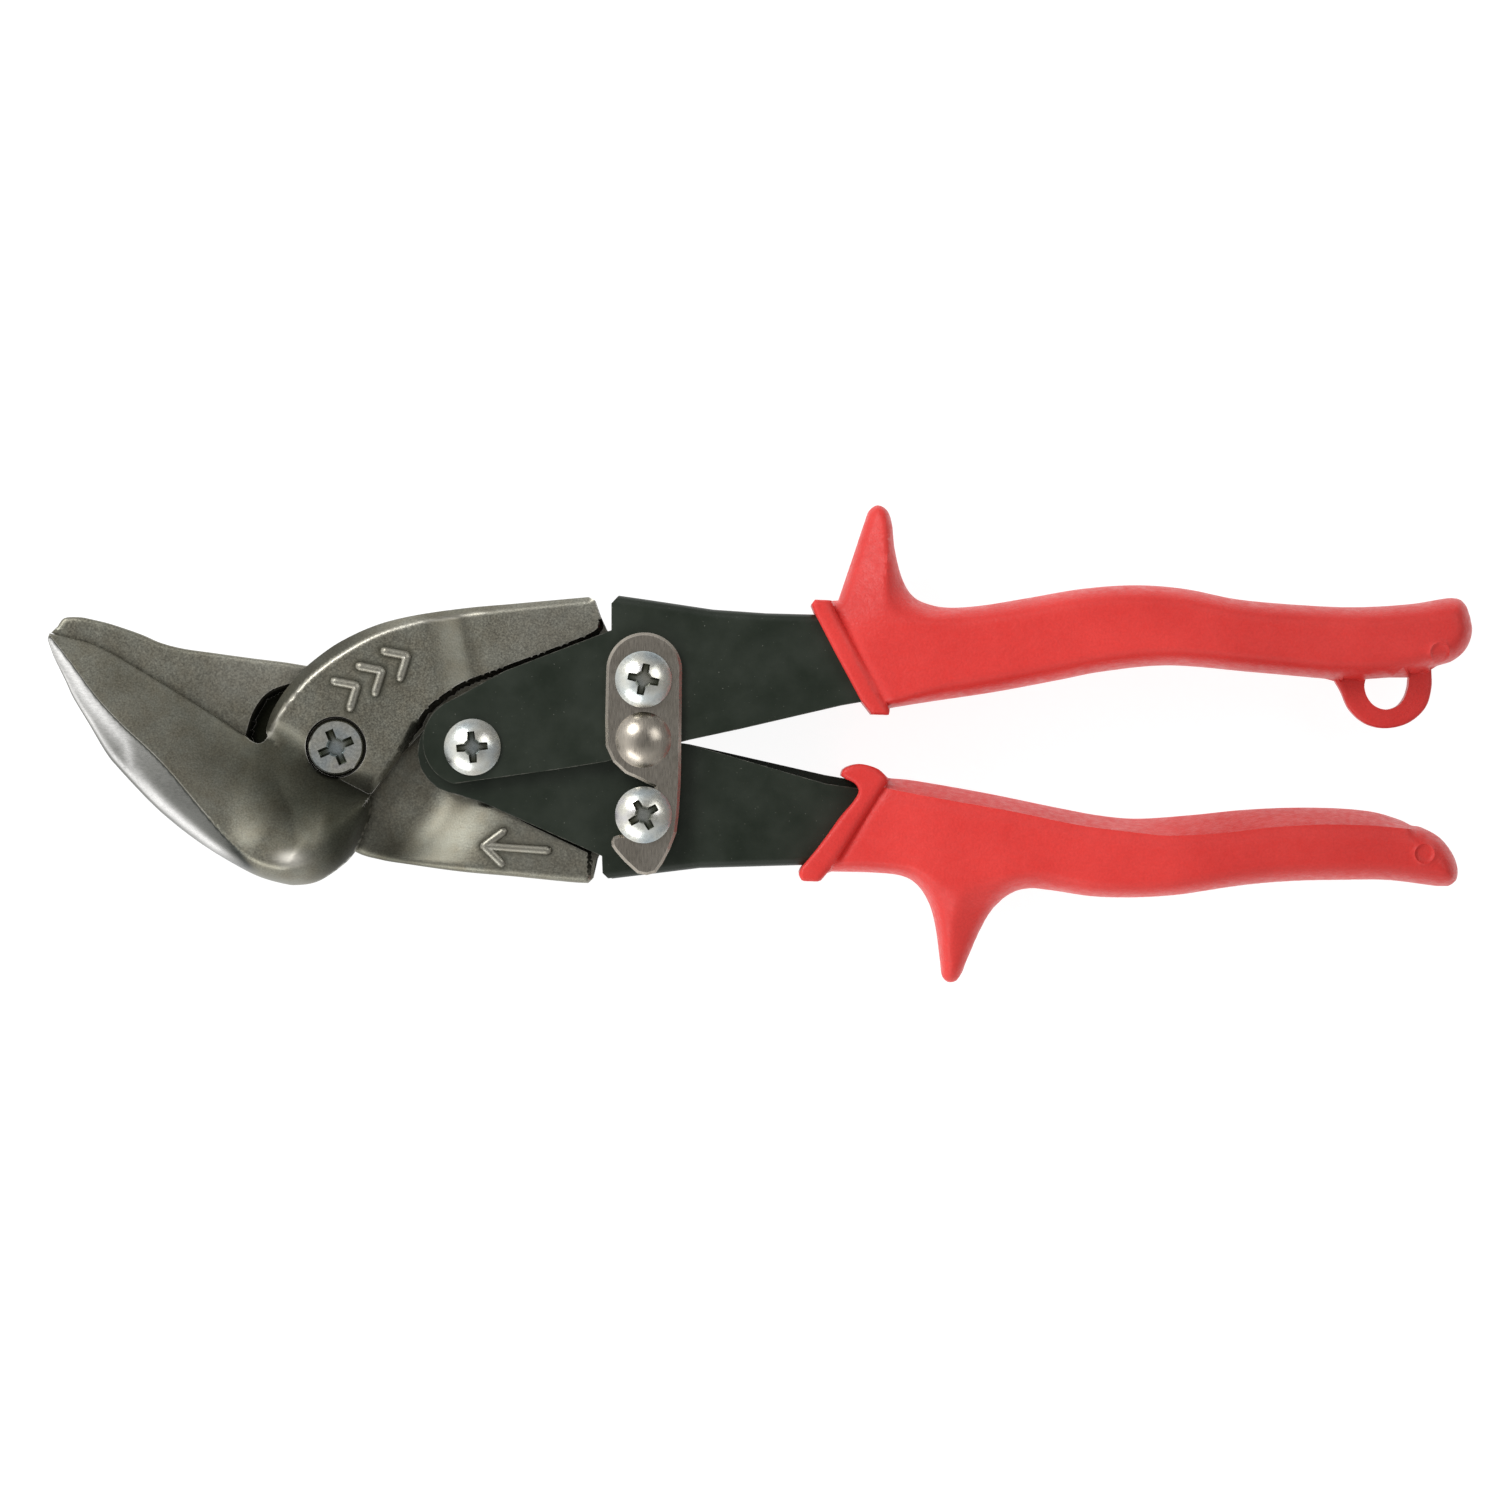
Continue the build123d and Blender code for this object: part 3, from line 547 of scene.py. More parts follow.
FIN_TOP = spline([
    (-116.0, 19.3), (-115.3, 20.4), (-114.4, 20.85), (-112.1, 20.85), (-110.3, 20.5), (-107.1, 19.7),
    (-102.3, 18.05), (-99.2, 16.7), (-95.4, 15.7), (-89.8, 14.9), (-84.0, 14.1), (-78.4, 13.4), (-73.5, 12.6),
])
FIN_CUT = spline([
    (-84.0, -1.6), (-91.6, 4.0), (-99.4, 8.8), (-107.0, 13.2), (-114.2, 16.9), (-117.0, 18.3),
])
HEEL = spline([
    (-28.3, -23.0), (-31.6, -22.8), (-40.5, -21.9), (-49.3, -21.1), (-58.2, -19.9), (-62.6, -19.2),
    (-66.8, -17.9), (-70.6, -14.6), (-77.5, -7.0), (-84.0, -1.6),
])
REAR_END = [(-27.5, -22.2), (-26.8, -19.0), (-26.3, -18.0), (-22.5, -18.2)]
REAR_OUTLINE = np.vstack([
    FIN_TOP, [(-67.5, 13.2), (-61.5, 11.4), (-57.8, 6.8), (-57.4, 2.4)],
    arc(HANDLE_PIVOT, SPRING_ROOM_R, 160, 266),
    [(-34.0, -7.6), (-23.6, -5.4)], arc(LOWER_LINK, EYE_R, 118, -112), REAR_END[::-1], HEEL, FIN_CUT,
])
REAR_POCKET = np.vstack([
    spline([
        (-58.8, 0.4), (-58.6, -1.6), (-57.7, -4.4), (-55.6, -6.7), (-53.2, -8.5), (-49.6, -9.8),
        (-45.6, -10.3), (-42.9, -10.2), (-39.1, -12.6), (-28.3, -17.8),
    ]),
    [(-28.3, -24.0), (-15.0, -24.0), (-9.0, -13.2), (-14.0, 0.8), (-46.0, 8.7)],
])
CRESCENT = np.vstack([
    spline([(-84.9, 0.9), (-83.4, -0.9), (-80.2, -0.2)]),
    [(-73.6, 10.2)],
    spline([(-76.0, 10.2), (-80.8, 8.5), (-83.4, 5.4), (-84.9, 0.9)]),
])
REAR_HEEL = np.vstack([REAR_END[:2][::-1], HEEL[HEEL[:, 0] > -72.0]])


# The rise starts a little past the sweep of the other jaw and flattens slowly towards the arm.
RISE_AT = np.linspace(0, 15, 61)
RISE_SUM = np.cumsum(np.interp(RISE_AT, [0, 4.5, 15], [0, 1.0, 0]))
RISE_SHARE = RISE_SUM / RISE_SUM[-1]


def rear_jaw_front(x, y):
    """The flat shear face, the dark crescent let into it, and the swept rise to the link arm."""
    reach = from_jaw_pivot(x, y)
    top, _ = near(x, y, FIN_TOP)
    heel, _ = near(x, y, REAR_HEEL)
    height = np.full(len(x), -0.05)
    height -= 0.8 * rounding(top, 0.7) * (y > 9)
    height -= 2.5 * smooth(-0.05, 0.5, depth(x, y, CRESCENT))
    rise = np.interp(reach - SWEEP_R, RISE_AT, RISE_SHARE)
    arm = mix(-0.05, TAIL_REAR_H, rise)
    arm -= 0.9 * rounding(heel, 1.3)
    arm -= 0.35 * smooth(-42, -30, x) * rise
    height = np.where((reach > SWEEP_R) & (y < 0), arm, height)
    recess = smooth(-0.05, 0.45, depth(x, y, REAR_POCKET)) * (x > POCKET_START)
    recess *= mix(1.0, smooth(-30.5, -27.6, x), smooth(-17.5, -18.3, y))
    return mix(height, np.minimum(height, TAIL_HALF), recess)


def rear_jaw_back(x, y):
    """The hollow-ground back of the fin, the boss round the pivot and the lower face of the arm."""
    to_cut, along = near(x, y, FIN_CUT)
    to_top, _ = near(x, y, FIN_TOP)
    share = share_of(to_cut, to_top)
    peak = np.interp(along, [0, 0.2, 0.42, 0.64, 0.86, 1], [10.4, 9.4, 7.8, 5.8, 3.2, 1.2])
    rim = np.interp(along, [0, 0.5, 0.85, 1], [4.6, 3.4, 2.0, 1.0])
    edge = np.interp(along, [0, 0.5, 1], [1.6, 1.2, 0.9])
    crest = 0.52
    inner = mix(edge, peak, np.clip(share / crest, 0, 1) ** 1.25)
    outer = mix(peak, rim, np.clip((share - crest) / (1 - crest), 0, 1) ** 1.5)
    blade = np.where(share < crest, inner, outer) - 0.3 * hump(share, crest, 0.06)
    heel, _ = near(x, y, np.vstack([HEEL, FIN_CUT[:1]]))
    reach = from_jaw_pivot(x, y)
    body = mix(6.2, 5.0, smooth(-57.0, -50.0, x)) - 1.4 * rounding(heel, 2.2) / 2.2
    depth_here = mix(np.maximum(blade, 0), body, smooth(-77.0, -73.0, x + 0.35 * y))
    recess = smooth(-0.05, 0.45, depth(x, y, REAR_POCKET)) * (x > POCKET_START)
    depth_here = mix(depth_here, np.minimum(depth_here, TAIL_HALF), recess)
    depth_here = mix(SEAT_H, depth_here, smooth(WASHER_R - 0.1, WASHER_R + 0.1, reach))
    return -depth_here


rear_jaw = relief(
    "jaw_rear_forged", REAR_OUTLINE, rear_jaw_front, rear_jaw_back, 0.45,
    holes=[arc(JAW_PIVOT, JAW_PIN_HOLE, 0, 355, 9), arc(LOWER_LINK, REAR_TAIL_HOLE, 0, 352, 9)],
    features=[*pair(CRESCENT, 0.2), *pair(REAR_POCKET[:-5], 0.2), *REAR_BORE_RINGS],
)
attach(rear_jaw, "rear_jaw_body")
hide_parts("rear_jaw")


def tube(path, radius):
    """Points and faces of a round wire along a path, with domed ends."""
    heading = np.gradient(path, axis=0)
    heading /= np.linalg.norm(heading, axis=1)[:, None]
    side = np.cross(heading, (0.0, 0.0, 1.0))
    side /= np.linalg.norm(side, axis=1)[:, None]
    rise = np.cross(side, heading)
    rings, where = [], []
    caps = [(0.05, 0.98), (0.6, 0.80), (0.93, 0.37)]
    for along, share in reversed(caps):
        rings.append((path[0] - heading[0] * radius * along, 0, share))
    rings += [(path[i], i, 1.0) for i in range(len(path))]
    for along, share in caps:
        rings.append((path[-1] + heading[-1] * radius * along, len(path) - 1, share))
    sides = 12
    a = np.linspace(0, 2 * math.pi, sides, endpoint=False)
    for center, i, share in rings:
        where.append(center + radius * share * (np.cos(a)[:, None] * side[i] + np.sin(a)[:, None] * rise[i]))
    polys = []
    for first in range(0, (len(rings) - 1) * sides, sides):
        second = first + sides
        for s in range(sides):
            n = (s + 1) % sides
            polys.append((first + s, first + n, second + n, second + s))
    polys.append(tuple(range(sides))[::-1])
    last = (len(rings) - 1) * sides
    polys.append(tuple(range(last, last + sides)))
    return np.vstack(where), polys


# ---------------- raised marks on the forgings


def raised(name, runs, height, body):
    """Rounded raised strokes, like those a forging die leaves: each run is a short polyline."""
    places, polys, count = [], [], 0
    for run in runs:
        flat = along_line(run, 0.3)
        shape, faces = tube(np.column_stack([flat, np.full(len(flat), height)]), STROKE_R)
        polys += [tuple(i + count for i in face) for face in faces]
        places.append(shape)
        count += len(shape)
    piece = made_piece(name, np.vstack(places), polys)
    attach(piece, body)
    return piece


def turned(points, center, angle):
    c, s = math.cos(math.radians(angle)), math.sin(math.radians(angle))
    return [(center[0] + u * c - v * s, center[1] + u * s + v * c) for u, v in points]


STROKE_R = 0.85
CHEVRON = [(-1.5, 2.5), (1.3, 0.0), (-1.5, -2.5)]
chevrons = [turned([(u + shift, v) for u, v in CHEVRON], (-63.2, 11.3), 31) for shift in (-4.8, 0.0, 4.8)]
front_marks = raised("jaw_front_chevrons", chevrons, 6.0, "front_jaw_body")
ARROW = [[(-5.2, 0), (5.2, 0)], [(-2.2, 2.6), (-5.2, 0), (-2.2, -2.6)]]
arrow = [turned(run, (-40.2, -17.2), -4) for run in ARROW]
rear_marks = raised("jaw_rear_arrow", arrow, 3.8, "rear_jaw_body")

# ---------------- grips

GRIP_RIM = 2.0
COLLAR_H = 9.6
UPPER_MARK = (111.4, 14.95)
LOWER_MARK = (108.85, -18.05)


def sleeve(d, radius, face):
    """Height at distance d inside the outline: rounded from the rim up to the height of the face."""
    t = np.clip(1 - d / radius, 0, 1)
    return GRIP_RIM + (face - GRIP_RIM) * (1 - t**2.5) ** 0.5


def eject(x, y, center, height):
    """The faint raised disc that an ejector pin leaves."""
    r = np.hypot(x - center[0], y - center[1])
    return height + 0.22 * hump(r, 1.65, 0.25) - 0.18 * (1 - smooth(1.3, 1.6, r))


def marks_of(center):
    """Rings that keep the mesh fine round an ejector pin's disc."""
    return [arc(center, r, 0, 360, 15) for r in (1.4, 1.65, 1.9)]


UPPER_TOP = spline([
    (117.0, 20.8), (116.1, 23.0), (114.0, 24.0), (107.3, 23.0), (99.2, 22.5), (91.3, 22.7), (79.3, 23.7),
    (70.0, 25.5), (61.8, 26.1), (53.1, 25.5), (44.2, 24.0), (36.9, 22.8), (31.6, 22.4), (28.0, 22.9),
    (25.2, 24.3), (23.4, 27.3), (22.2, 32.1), (21.8, 36.0), (21.0, 38.4), (19.4, 39.3), (18.0, 38.4),
    (17.3, 36.7), (15.2, 30.4), (12.9, 23.6),
])
UPPER_COLLAR = [
    (11.4, 23.5), (9.0, 23.6), (8.4, 22.8), (9.2, 20.9), (12.3, 14.9), (16.5, 7.1), (18.3, 4.8), (21.1, 4.7),
    (21.4, 5.8),
]
UPPER_BOTTOM = spline([
    (22.4, 6.0), (28.0, 6.9), (38.7, 8.5), (49.4, 10.5), (56.7, 11.9), (67.6, 12.9), (81.2, 11.8),
    (93.4, 10.7),
])
LOOP_OUT = spline([
    (94.8, 10.3), (95.8, 8.6), (97.2, 5.6), (99.8, 3.3), (103.2, 2.5), (106.9, 3.4), (109.7, 5.9),
    (110.7, 9.2), (110.7, 12.2),
])
UPPER_END = spline([(111.6, 12.8), (114.3, 13.7), (116.4, 15.7), (117.3, 18.4), (117.0, 20.8)])
UPPER_OUTLINE = np.vstack([UPPER_TOP[1:], UPPER_COLLAR, UPPER_BOTTOM, LOOP_OUT, UPPER_END])
LOOP_HOLE = np.vstack([spline([
    (99.8, 10.6), (99.6, 9.3), (100.1, 7.6), (101.3, 6.2), (103.1, 5.6), (105.0, 6.1), (106.2, 7.5),
    (106.8, 9.2), (107.0, 10.9),
], 0.4), [(104.0, 10.9)]])
UPPER_BODY = np.vstack([
    UPPER_TOP[1:], UPPER_COLLAR, UPPER_BOTTOM, [(99.2, 10.6), (104.0, 10.9), (108.0, 11.7)], UPPER_END,
])
UPPER_BAND = [
    (11.4, 23.9), (8.0, 23.9), (8.0, 22.6), (8.8, 20.7), (11.9, 14.7), (16.1, 6.8), (18.2, 4.3), (21.6, 4.3),
    (21.5, 5.2), (20.1, 7.5), (12.3, 21.6),
]
UPPER_LIP = [(11.2, 24.2), (12.3, 21.6), (20.1, 7.5), (21.5, 5.1)]
HORN_RIDGE = [(20.6, 39.0), (21.0, 32.7), (20.7, 26.0), (20.6, 22.0), (19.9, 11.3)]


def upper_grip_half(x, y):
    """Half thickness of the upper sleeve: swept palm, a facet that climbs from the collar, the horn."""
    d = depth(x, y, UPPER_BODY)
    full = np.interp(x, [15, 24, 40, 60, 80, 100, 117], [9.3, 9.9, 10.6, 11.0, 10.6, 10.2, 9.4])
    ridge_x = np.interp(y, [4, 11.3, 22, 26, 32.7, 39], [18.6, 19.9, 20.6, 20.8, 21.0, 20.7])
    ridge_z = 10.2 - 5.9 * smooth(14.0, 45.0, y)
    left = ridge_z - mix(0.17, 0.34, smooth(20.0, 30.0, y)) * (ridge_x - x)
    in_horn = smooth(19.5, 26.5, y) * (1 - smooth(27.0, 32.0, x))
    right = mix(full, ridge_z - 1.15 * (x - ridge_x), in_horn)
    face = np.where(x < ridge_x + 5, soft_min(left, right, 0.55), right)
    radius = mix(1.6, 3.6, smooth(21, 33, x))
    radius = mix(radius, 1.8, in_horn)
    height = sleeve(d, radius, face)
    return np.where(d > 0, np.maximum(height, GRIP_RIM), GRIP_RIM)


def collar_band(x, y, height, band, lip):
    """The stiff lip at the mouth of a sleeve, with the groove behind it."""
    d = depth(x, y, band)
    behind, _ = near(x, y, lip)
    height = height - 0.55 * hump(behind, 0, 0.8) * (d <= 0)
    return mix(height, COLLAR_H - 0.9 * rounding(np.maximum(d, 0), 1.1), smooth(-0.12, 0.12, d))


def upper_grip_side(x, y):
    """One side of the upper sleeve with its collar and its rounded outer edge."""
    height = collar_band(x, y, upper_grip_half(x, y), UPPER_BAND, UPPER_LIP)
    rim, _ = near(x, y, UPPER_OUTLINE, closed=True)
    return height - 0.7 * rounding(rim, 0.8)


def upper_grip_front(x, y):
    return eject(x, y, UPPER_MARK, upper_grip_side(x, y))


def upper_grip_back(x, y):
    return -upper_grip_side(x, y)


upper_grip = relief(
    "grip_upper_vinyl", UPPER_OUTLINE, upper_grip_front, upper_grip_back, 0.55, holes=[LOOP_HOLE[::-1]],
    rings=(0.1, 0.28, 0.55, 1.0),
    features=[*pair(UPPER_LIP, 0.12), HORN_RIDGE, *marks_of(UPPER_MARK)],
)

LOWER_TOP = spline([
    (21.2, -5.7), (26.0, -6.2), (37.4, -8.2), (48.6, -10.5), (56.2, -11.9), (62.6, -12.4), (71.4, -11.8),
    (79.3, -11.0), (87.3, -10.6), (95.3, -10.7), (101.2, -11.3), (105.6, -12.6), (107.4, -13.5),
    (109.0, -13.8),
    (111.9, -15.4), (114.0, -18.0), (114.9, -20.6), (114.6, -22.6), (113.4, -23.5),
])
LOWER_BOTTOM = spline([
    (111.5, -23.5), (103.3, -22.5), (95.3, -22.5), (87.3, -22.7), (79.3, -23.4), (67.2, -25.1), (56.2, -25.3),
    (48.0, -24.2), (44.2, -23.9), (41.2, -24.8), (38.5, -27.1), (36.6, -30.1), (34.6, -34.5), (32.9, -38.5),
    (31.4, -39.4), (30.1, -38.5), (29.7, -35.7), (29.0, -30.4), (28.0, -26.6), (26.2, -23.6), (23.6, -21.9),
    (19.0, -21.3), (11.8, -21.1),
])
LOWER_COLLAR = np.vstack([
    spline([(11.0, -21.3), (10.0, -22.5), (8.3, -22.6), (6.8, -22.4), (6.4, -21.2), (7.0, -20.1)]),
    spline([
        (9.1, -17.6), (11.2, -14.8), (13.2, -12.0), (15.4, -9.4), (16.2, -7.7), (15.5, -6.5), (14.2, -5.9),
    ]),
    spline([(13.3, -5.3), (13.6, -4.3), (14.9, -3.6), (16.9, -3.4), (19.4, -4.2), (20.7, -5.4)]),
])
LOWER_OUTLINE = np.vstack([LOWER_COLLAR, LOWER_TOP, LOWER_BOTTOM])[::-1]
LOWER_BAND = [
    (11.4, -20.9), (9.6, -23.0), (6.2, -23.0), (5.7, -20.4), (12.9, -11.9), (15.6, -8.0), (15.2, -6.7),
    (12.8, -5.2), (13.2, -3.9), (15.0, -3.0), (18.2, -3.0), (21.2, -5.6), (20.6, -6.4),
]
LOWER_LIP = [(10.6, -22.4), (11.4, -20.9), (20.6, -6.4), (21.8, -5.4)]
CREASE = spline([
    (20.4, -7.3), (29.8, -9.1), (41.2, -11.1), (52.4, -13.4), (62.6, -14.7), (67.2, -15.1), (75.3, -14.7),
    (83.2, -13.8), (91.3, -13.3), (99.2, -13.4), (105.4, -13.9), (108.6, -14.2),
])
LOWER_RIDGE = [(31.4, -38.6), (31.2, -34.0), (31.6, -29.0), (32.6, -24.0)]


def lower_grip_half(x, y, crease):
    """Half thickness of the lower sleeve; its inner side slants down from a crease."""
    d = depth(x, y, LOWER_OUTLINE)
    full = np.interp(x, [15, 24, 40, 60, 80, 100, 115], [9.3, 9.9, 10.6, 11.0, 10.6, 10.2, 9.6])
    in_horn = 1 - smooth(-27.5, -21.0, y)
    ridge_z = np.interp(y, [-39, -37, -32, -26, -20], [3.8, 5.0, 6.7, 9.0, 10.4])
    ridge_x = np.interp(y, [-39, -34, -29, -24], [31.4, 31.2, 31.6, 32.6])
    slope = np.where(x < ridge_x, 0.55, 0.42)
    horn = ridge_z - slope * soft_max(np.abs(x - ridge_x) - 0.6, 0 * x, 1.2)
    face = mix(full, horn, in_horn * np.exp(-(((x - 32.5) / 13.0) ** 4)))
    face = soft_min(face, 9.0 + 0.10 * (x - 20), 0.8)
    radius = mix(2.2, 3.6, smooth(21, 33, x))
    radius = mix(radius, 1.9, in_horn)
    rounded = sleeve(d, radius, face)
    if not crease:
        return np.where(d > 0, np.maximum(rounded, GRIP_RIM), GRIP_RIM)
    to_top, _ = near(x, y, LOWER_TOP)
    to_crease, _ = near(x, y, CREASE)
    strip = inside(x, y, np.vstack([CREASE, LOWER_TOP[(LOWER_TOP[:, 0] < 108.6)][::-1]]))
    share = share_of(to_top, to_crease)
    lift = face - 0.4
    slanted = mix(GRIP_RIM - 1.0, lift, np.clip(share, 0, 1) ** 0.85)
    lower_part = lift + (face - lift) * smooth(0, 2.5, to_crease)
    to_bottom, _ = near(x, y, LOWER_BOTTOM)
    edge = sleeve(to_bottom, radius, lower_part)
    creased = np.where(strip, slanted, edge)
    along = smooth(19.0, 20.3, x) * (1 - smooth(105.5, 108.5, x))
    outside = mix(GRIP_RIM, 1.0, along)
    return np.where(d > 0, mix(rounded, creased, along * (y > -21)), outside)


def lower_grip_side(x, y, crease, edge_drop):
    """One side of the lower sleeve with its collar and its rounded outer edge."""
    height = collar_band(x, y, lower_grip_half(x, y, crease), LOWER_BAND, LOWER_LIP)
    rim, _ = near(x, y, LOWER_OUTLINE, closed=True)
    return height - edge_drop * rounding(rim, 0.8)


def lower_grip_front(x, y):
    return eject(x, y, LOWER_MARK, lower_grip_side(x, y, True, 0.5))


def lower_grip_back(x, y):
    return -lower_grip_side(x, y, False, 0.7)


lower_grip = relief(
    "grip_lower_vinyl", LOWER_OUTLINE, lower_grip_front, lower_grip_back, 0.55,
    rings=(0.1, 0.28, 0.55, 1.0),
    features=[*pair(LOWER_LIP, 0.12), CREASE, LOWER_RIDGE, *marks_of(LOWER_MARK)],
)
for grip, side in ((upper_grip, "upper"), (lower_grip, "lower")):
    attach(grip, side + "_handle_body")
    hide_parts(side + "_grip")

# ---------------- return spring

COIL_R, WIRE_R, COIL_H = 5.1, 0.65, 3.9
LEG_REACH, LEG_RISE = 20.2, 3.9


def wire_path():
    """Lower leg, two and a half turns, upper leg."""
    leave = math.acos(COIL_R / math.hypot(LEG_REACH, LEG_RISE)) - math.atan2(LEG_RISE, LEG_REACH)
    t = np.linspace(0, 1, 130)
    angle = leave + t * (6 * math.pi - 2 * leave)
    px, py = HANDLE_PIVOT
    coil = np.stack([px + COIL_R * np.cos(angle), py + COIL_R * np.sin(angle), (t - 0.5) * COIL_H], 1)
    low = np.array([px + LEG_REACH, py - LEG_RISE, coil[0, 2]])
    high = np.array([px + LEG_REACH, py + LEG_RISE, coil[-1, 2]])
    legs = np.linspace(0, 1, 14)[:-1, None]
    last_leg = (coil[-1] + (high - coil[-1]) * (1 - legs))[::-1]
    return np.vstack([low + (coil[0] - low) * legs, coil, last_leg])


spring = made_piece("spring_wire", *tube(wire_path(), WIRE_R))
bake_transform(spring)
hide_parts("return_spring")

# ---------------- materials


def material(name, color, metallic, roughness, **sockets):
    made = bpy.data.materials.new(name)
    made.use_nodes = True
    shader = made.node_tree.nodes["Principled BSDF"]
    shader.inputs["Base Color"].default_value = (*color, 1.0)
    shader.inputs["Metallic"].default_value = metallic
    shader.inputs["Roughness"].default_value = roughness
    for key, value in sockets.items():
        shader.inputs[key.replace("_", " ")].default_value = value
    return made, made.node_tree, shader


def place(tree, stretch=(1, 1, 1)):
    """Where a point is on its piece, in millimetres."""
    here = node(tree, "TexCoord").outputs["Object"]
    scale = tuple(1000.0 * s for s in stretch)
    return node(tree, "Mapping", {"Vector": here, "Scale": scale}).outputs["Vector"]


def noise(tree, where, size, detail=3.0, rough=0.5):
    """Noise with features about size millimetres wide."""
    inputs = {"Vector": where, "Scale": 1.0 / size, "Detail": detail, "Roughness": rough}
    return node(tree, "TexNoise", inputs).outputs["Fac"]


def math_node(tree, operation, first, second=0.0, third=0.0):
    made = node(tree, "Math", operation=operation)
    for socket, value in zip(made.inputs, (first, second, third)):
        if isinstance(value, bpy.types.NodeSocket):
            tree.links.new(value, socket)
        else:
            socket.default_value = value
    return made.outputs["Value"]


def blend_color(tree, factor, first, second, mode="MIX"):
    made = node(tree, "MixRGB", {"Fac": factor}, blend_type=mode)
    for key, value in (("Color1", first), ("Color2", second)):
        if isinstance(value, bpy.types.NodeSocket):
            tree.links.new(value, made.inputs[key])
        else:
            made.inputs[key].default_value = (*value, 1.0)
    return made.outputs["Color"]


def times(tree, first, second):
    """Two colours multiplied."""
    return blend_color(tree, 1.0, first, second, "MULTIPLY")


def painted(tree, name):
    """A value that was stored for each vertex."""
    return node(tree, "Attribute", attribute_name=name, attribute_type="GEOMETRY").outputs["Fac"]


def spread(tree, factor, low, high):
    """A noise spread between two values."""
    limits = {"From Min": 0.3, "From Max": 0.7, "To Min": low, "To Max": high}
    return node(tree, "MapRange", {"Value": factor, **limits}).outputs["Result"]


def surface(tree, shader, tone, rough):
    tree.links.new(tone, shader.inputs["Base Color"])
    tree.links.new(rough, shader.inputs["Roughness"])


def edges(tree, radius):
    """1 on the edges of a piece and 0 on its faces; radius in millimetres. Used for edge wear, and on the
    latch for a painted edge highlight.
    """
    soft = node(tree, "Bevel", {"Radius": radius / 1000}, samples=6).outputs["Normal"]
    flat = node(tree, "NewGeometry").outputs["Normal"]
    aligned = node(tree, "VectorMath", {0: soft, 1: flat}, operation="DOT_PRODUCT").outputs["Value"]
    away = math_node(tree, "SUBTRACT", 1.0, aligned)
    return node(tree, "MapRange", {"Value": away, "From Min": 0.03, "From Max": 0.22}).outputs["Result"]


def bumps(tree, shader, height, distance, strength):
    made = node(tree, "Bump", {"Height": height, "Distance": distance / 1000, "Strength": strength})
    tree.links.new(made.outputs["Normal"], shader.inputs["Normal"])


def crevice_shade(tree, reach, dark, stops=(0.30, 0.80)):
    """Painted shade: darkens the inside of recesses and corners within reach millimetres."""
    shade = node(tree, "AmbientOcclusion", {"Distance": reach / 1000}, samples=6).outputs["AO"]
    return ramp(tree, shade, [(stops[0], dark), (stops[1], 1.0)])


def forged_steel():
    made, tree, shader = material("forged_steel_look", (0.2, 0.18, 0.16), 1.0, 0.42)
    where = place(tree)
    speck = noise(tree, where, 0.30, 2.0, 0.6)
    patch = noise(tree, where, 6.0, 4.0, 0.6)
    warm = noise(tree, where, 3.0, 3.0, 0.6)
    grain = noise(tree, place(tree, (0.12, 2.2, 1.0)), 0.5, 2.0, 0.5)
    band = noise(tree, place(tree, (0.9, 0.9, 0.3)), 7.0, 2.0, 0.5)
    tone = ramp(tree, patch, [(0.30, (0.178, 0.173, 0.139)), (0.70, (0.250, 0.244, 0.200))])
    tone = times(tree, tone, ramp(tree, speck, [(0.30, 0.74), (0.52, 1.0), (0.72, 1.28)]))
    tone = times(tree, tone, ramp(tree, warm, [(0.35, (1.03, 0.995, 0.96)), (0.65, (0.99, 1.0, 1.01))]))
    # Painted shade: the value stored on the jaws darkens the steel to near black, and recesses and corners
    # are darkened from ambient occlusion.
    scale = painted(tree, "scale")
    tone = blend_color(tree, scale, tone, times(tree, tone, (0.07, 0.08, 0.058)))
    tone = times(tree, tone, crevice_shade(tree, 2.0, 0.35))
    # The ground strip of the blade: a real polish mask, with painted shade on its inner side and painted
    # highlight bands towards its rim.
    polish_and_painted_sheen = painted(tree, "polish_and_painted_sheen")
    bright = ramp(tree, polish_and_painted_sheen, [
        (0.25, (0.055, 0.058, 0.052)), (0.45, (0.22, 0.22, 0.205)),
        (0.72, (0.52, 0.515, 0.50)), (1.0, (0.95, 0.94, 0.92)),
    ])
    bright = times(tree, bright, ramp(tree, grain, [(0.30, 0.86), (0.70, 1.06)]))
    bright = times(tree, bright, ramp(tree, band, [(0.35, 0.92), (0.65, 1.04)]))
    ground = ramp(tree, polish_and_painted_sheen, [(0.05, 0.0), (0.2, 1.0)])
    tone = blend_color(tree, ground, tone, bright)
    worn = math_node(tree, "MULTIPLY", edges(tree, 0.30), ramp(tree, patch, [(0.35, 0.30), (0.60, 0.85)]))
    tone = blend_color(tree, worn, tone, (0.60, 0.58, 0.545))
    # Painted highlight: lightens the steel towards bright bare metal where the stored value says.
    painted_highlight = painted(tree, "painted_highlight")
    tone = blend_color(tree, painted_highlight, tone, (0.80, 0.77, 0.69))
    rough = blend_color(tree, scale, spread(tree, speck, 0.36, 0.50), (0.72, 0.72, 0.72))
    rough = blend_color(tree, ground, rough, ramp(tree, grain, [(0.3, 0.24), (0.7, 0.32)]))
    surface(tree, shader, tone, rough)
    matt = math_node(tree, "SUBTRACT", 1.0, ground)
    bumps(tree, shader, math_node(tree, "MULTIPLY", speck, matt), 0.035, 0.7)
    return made


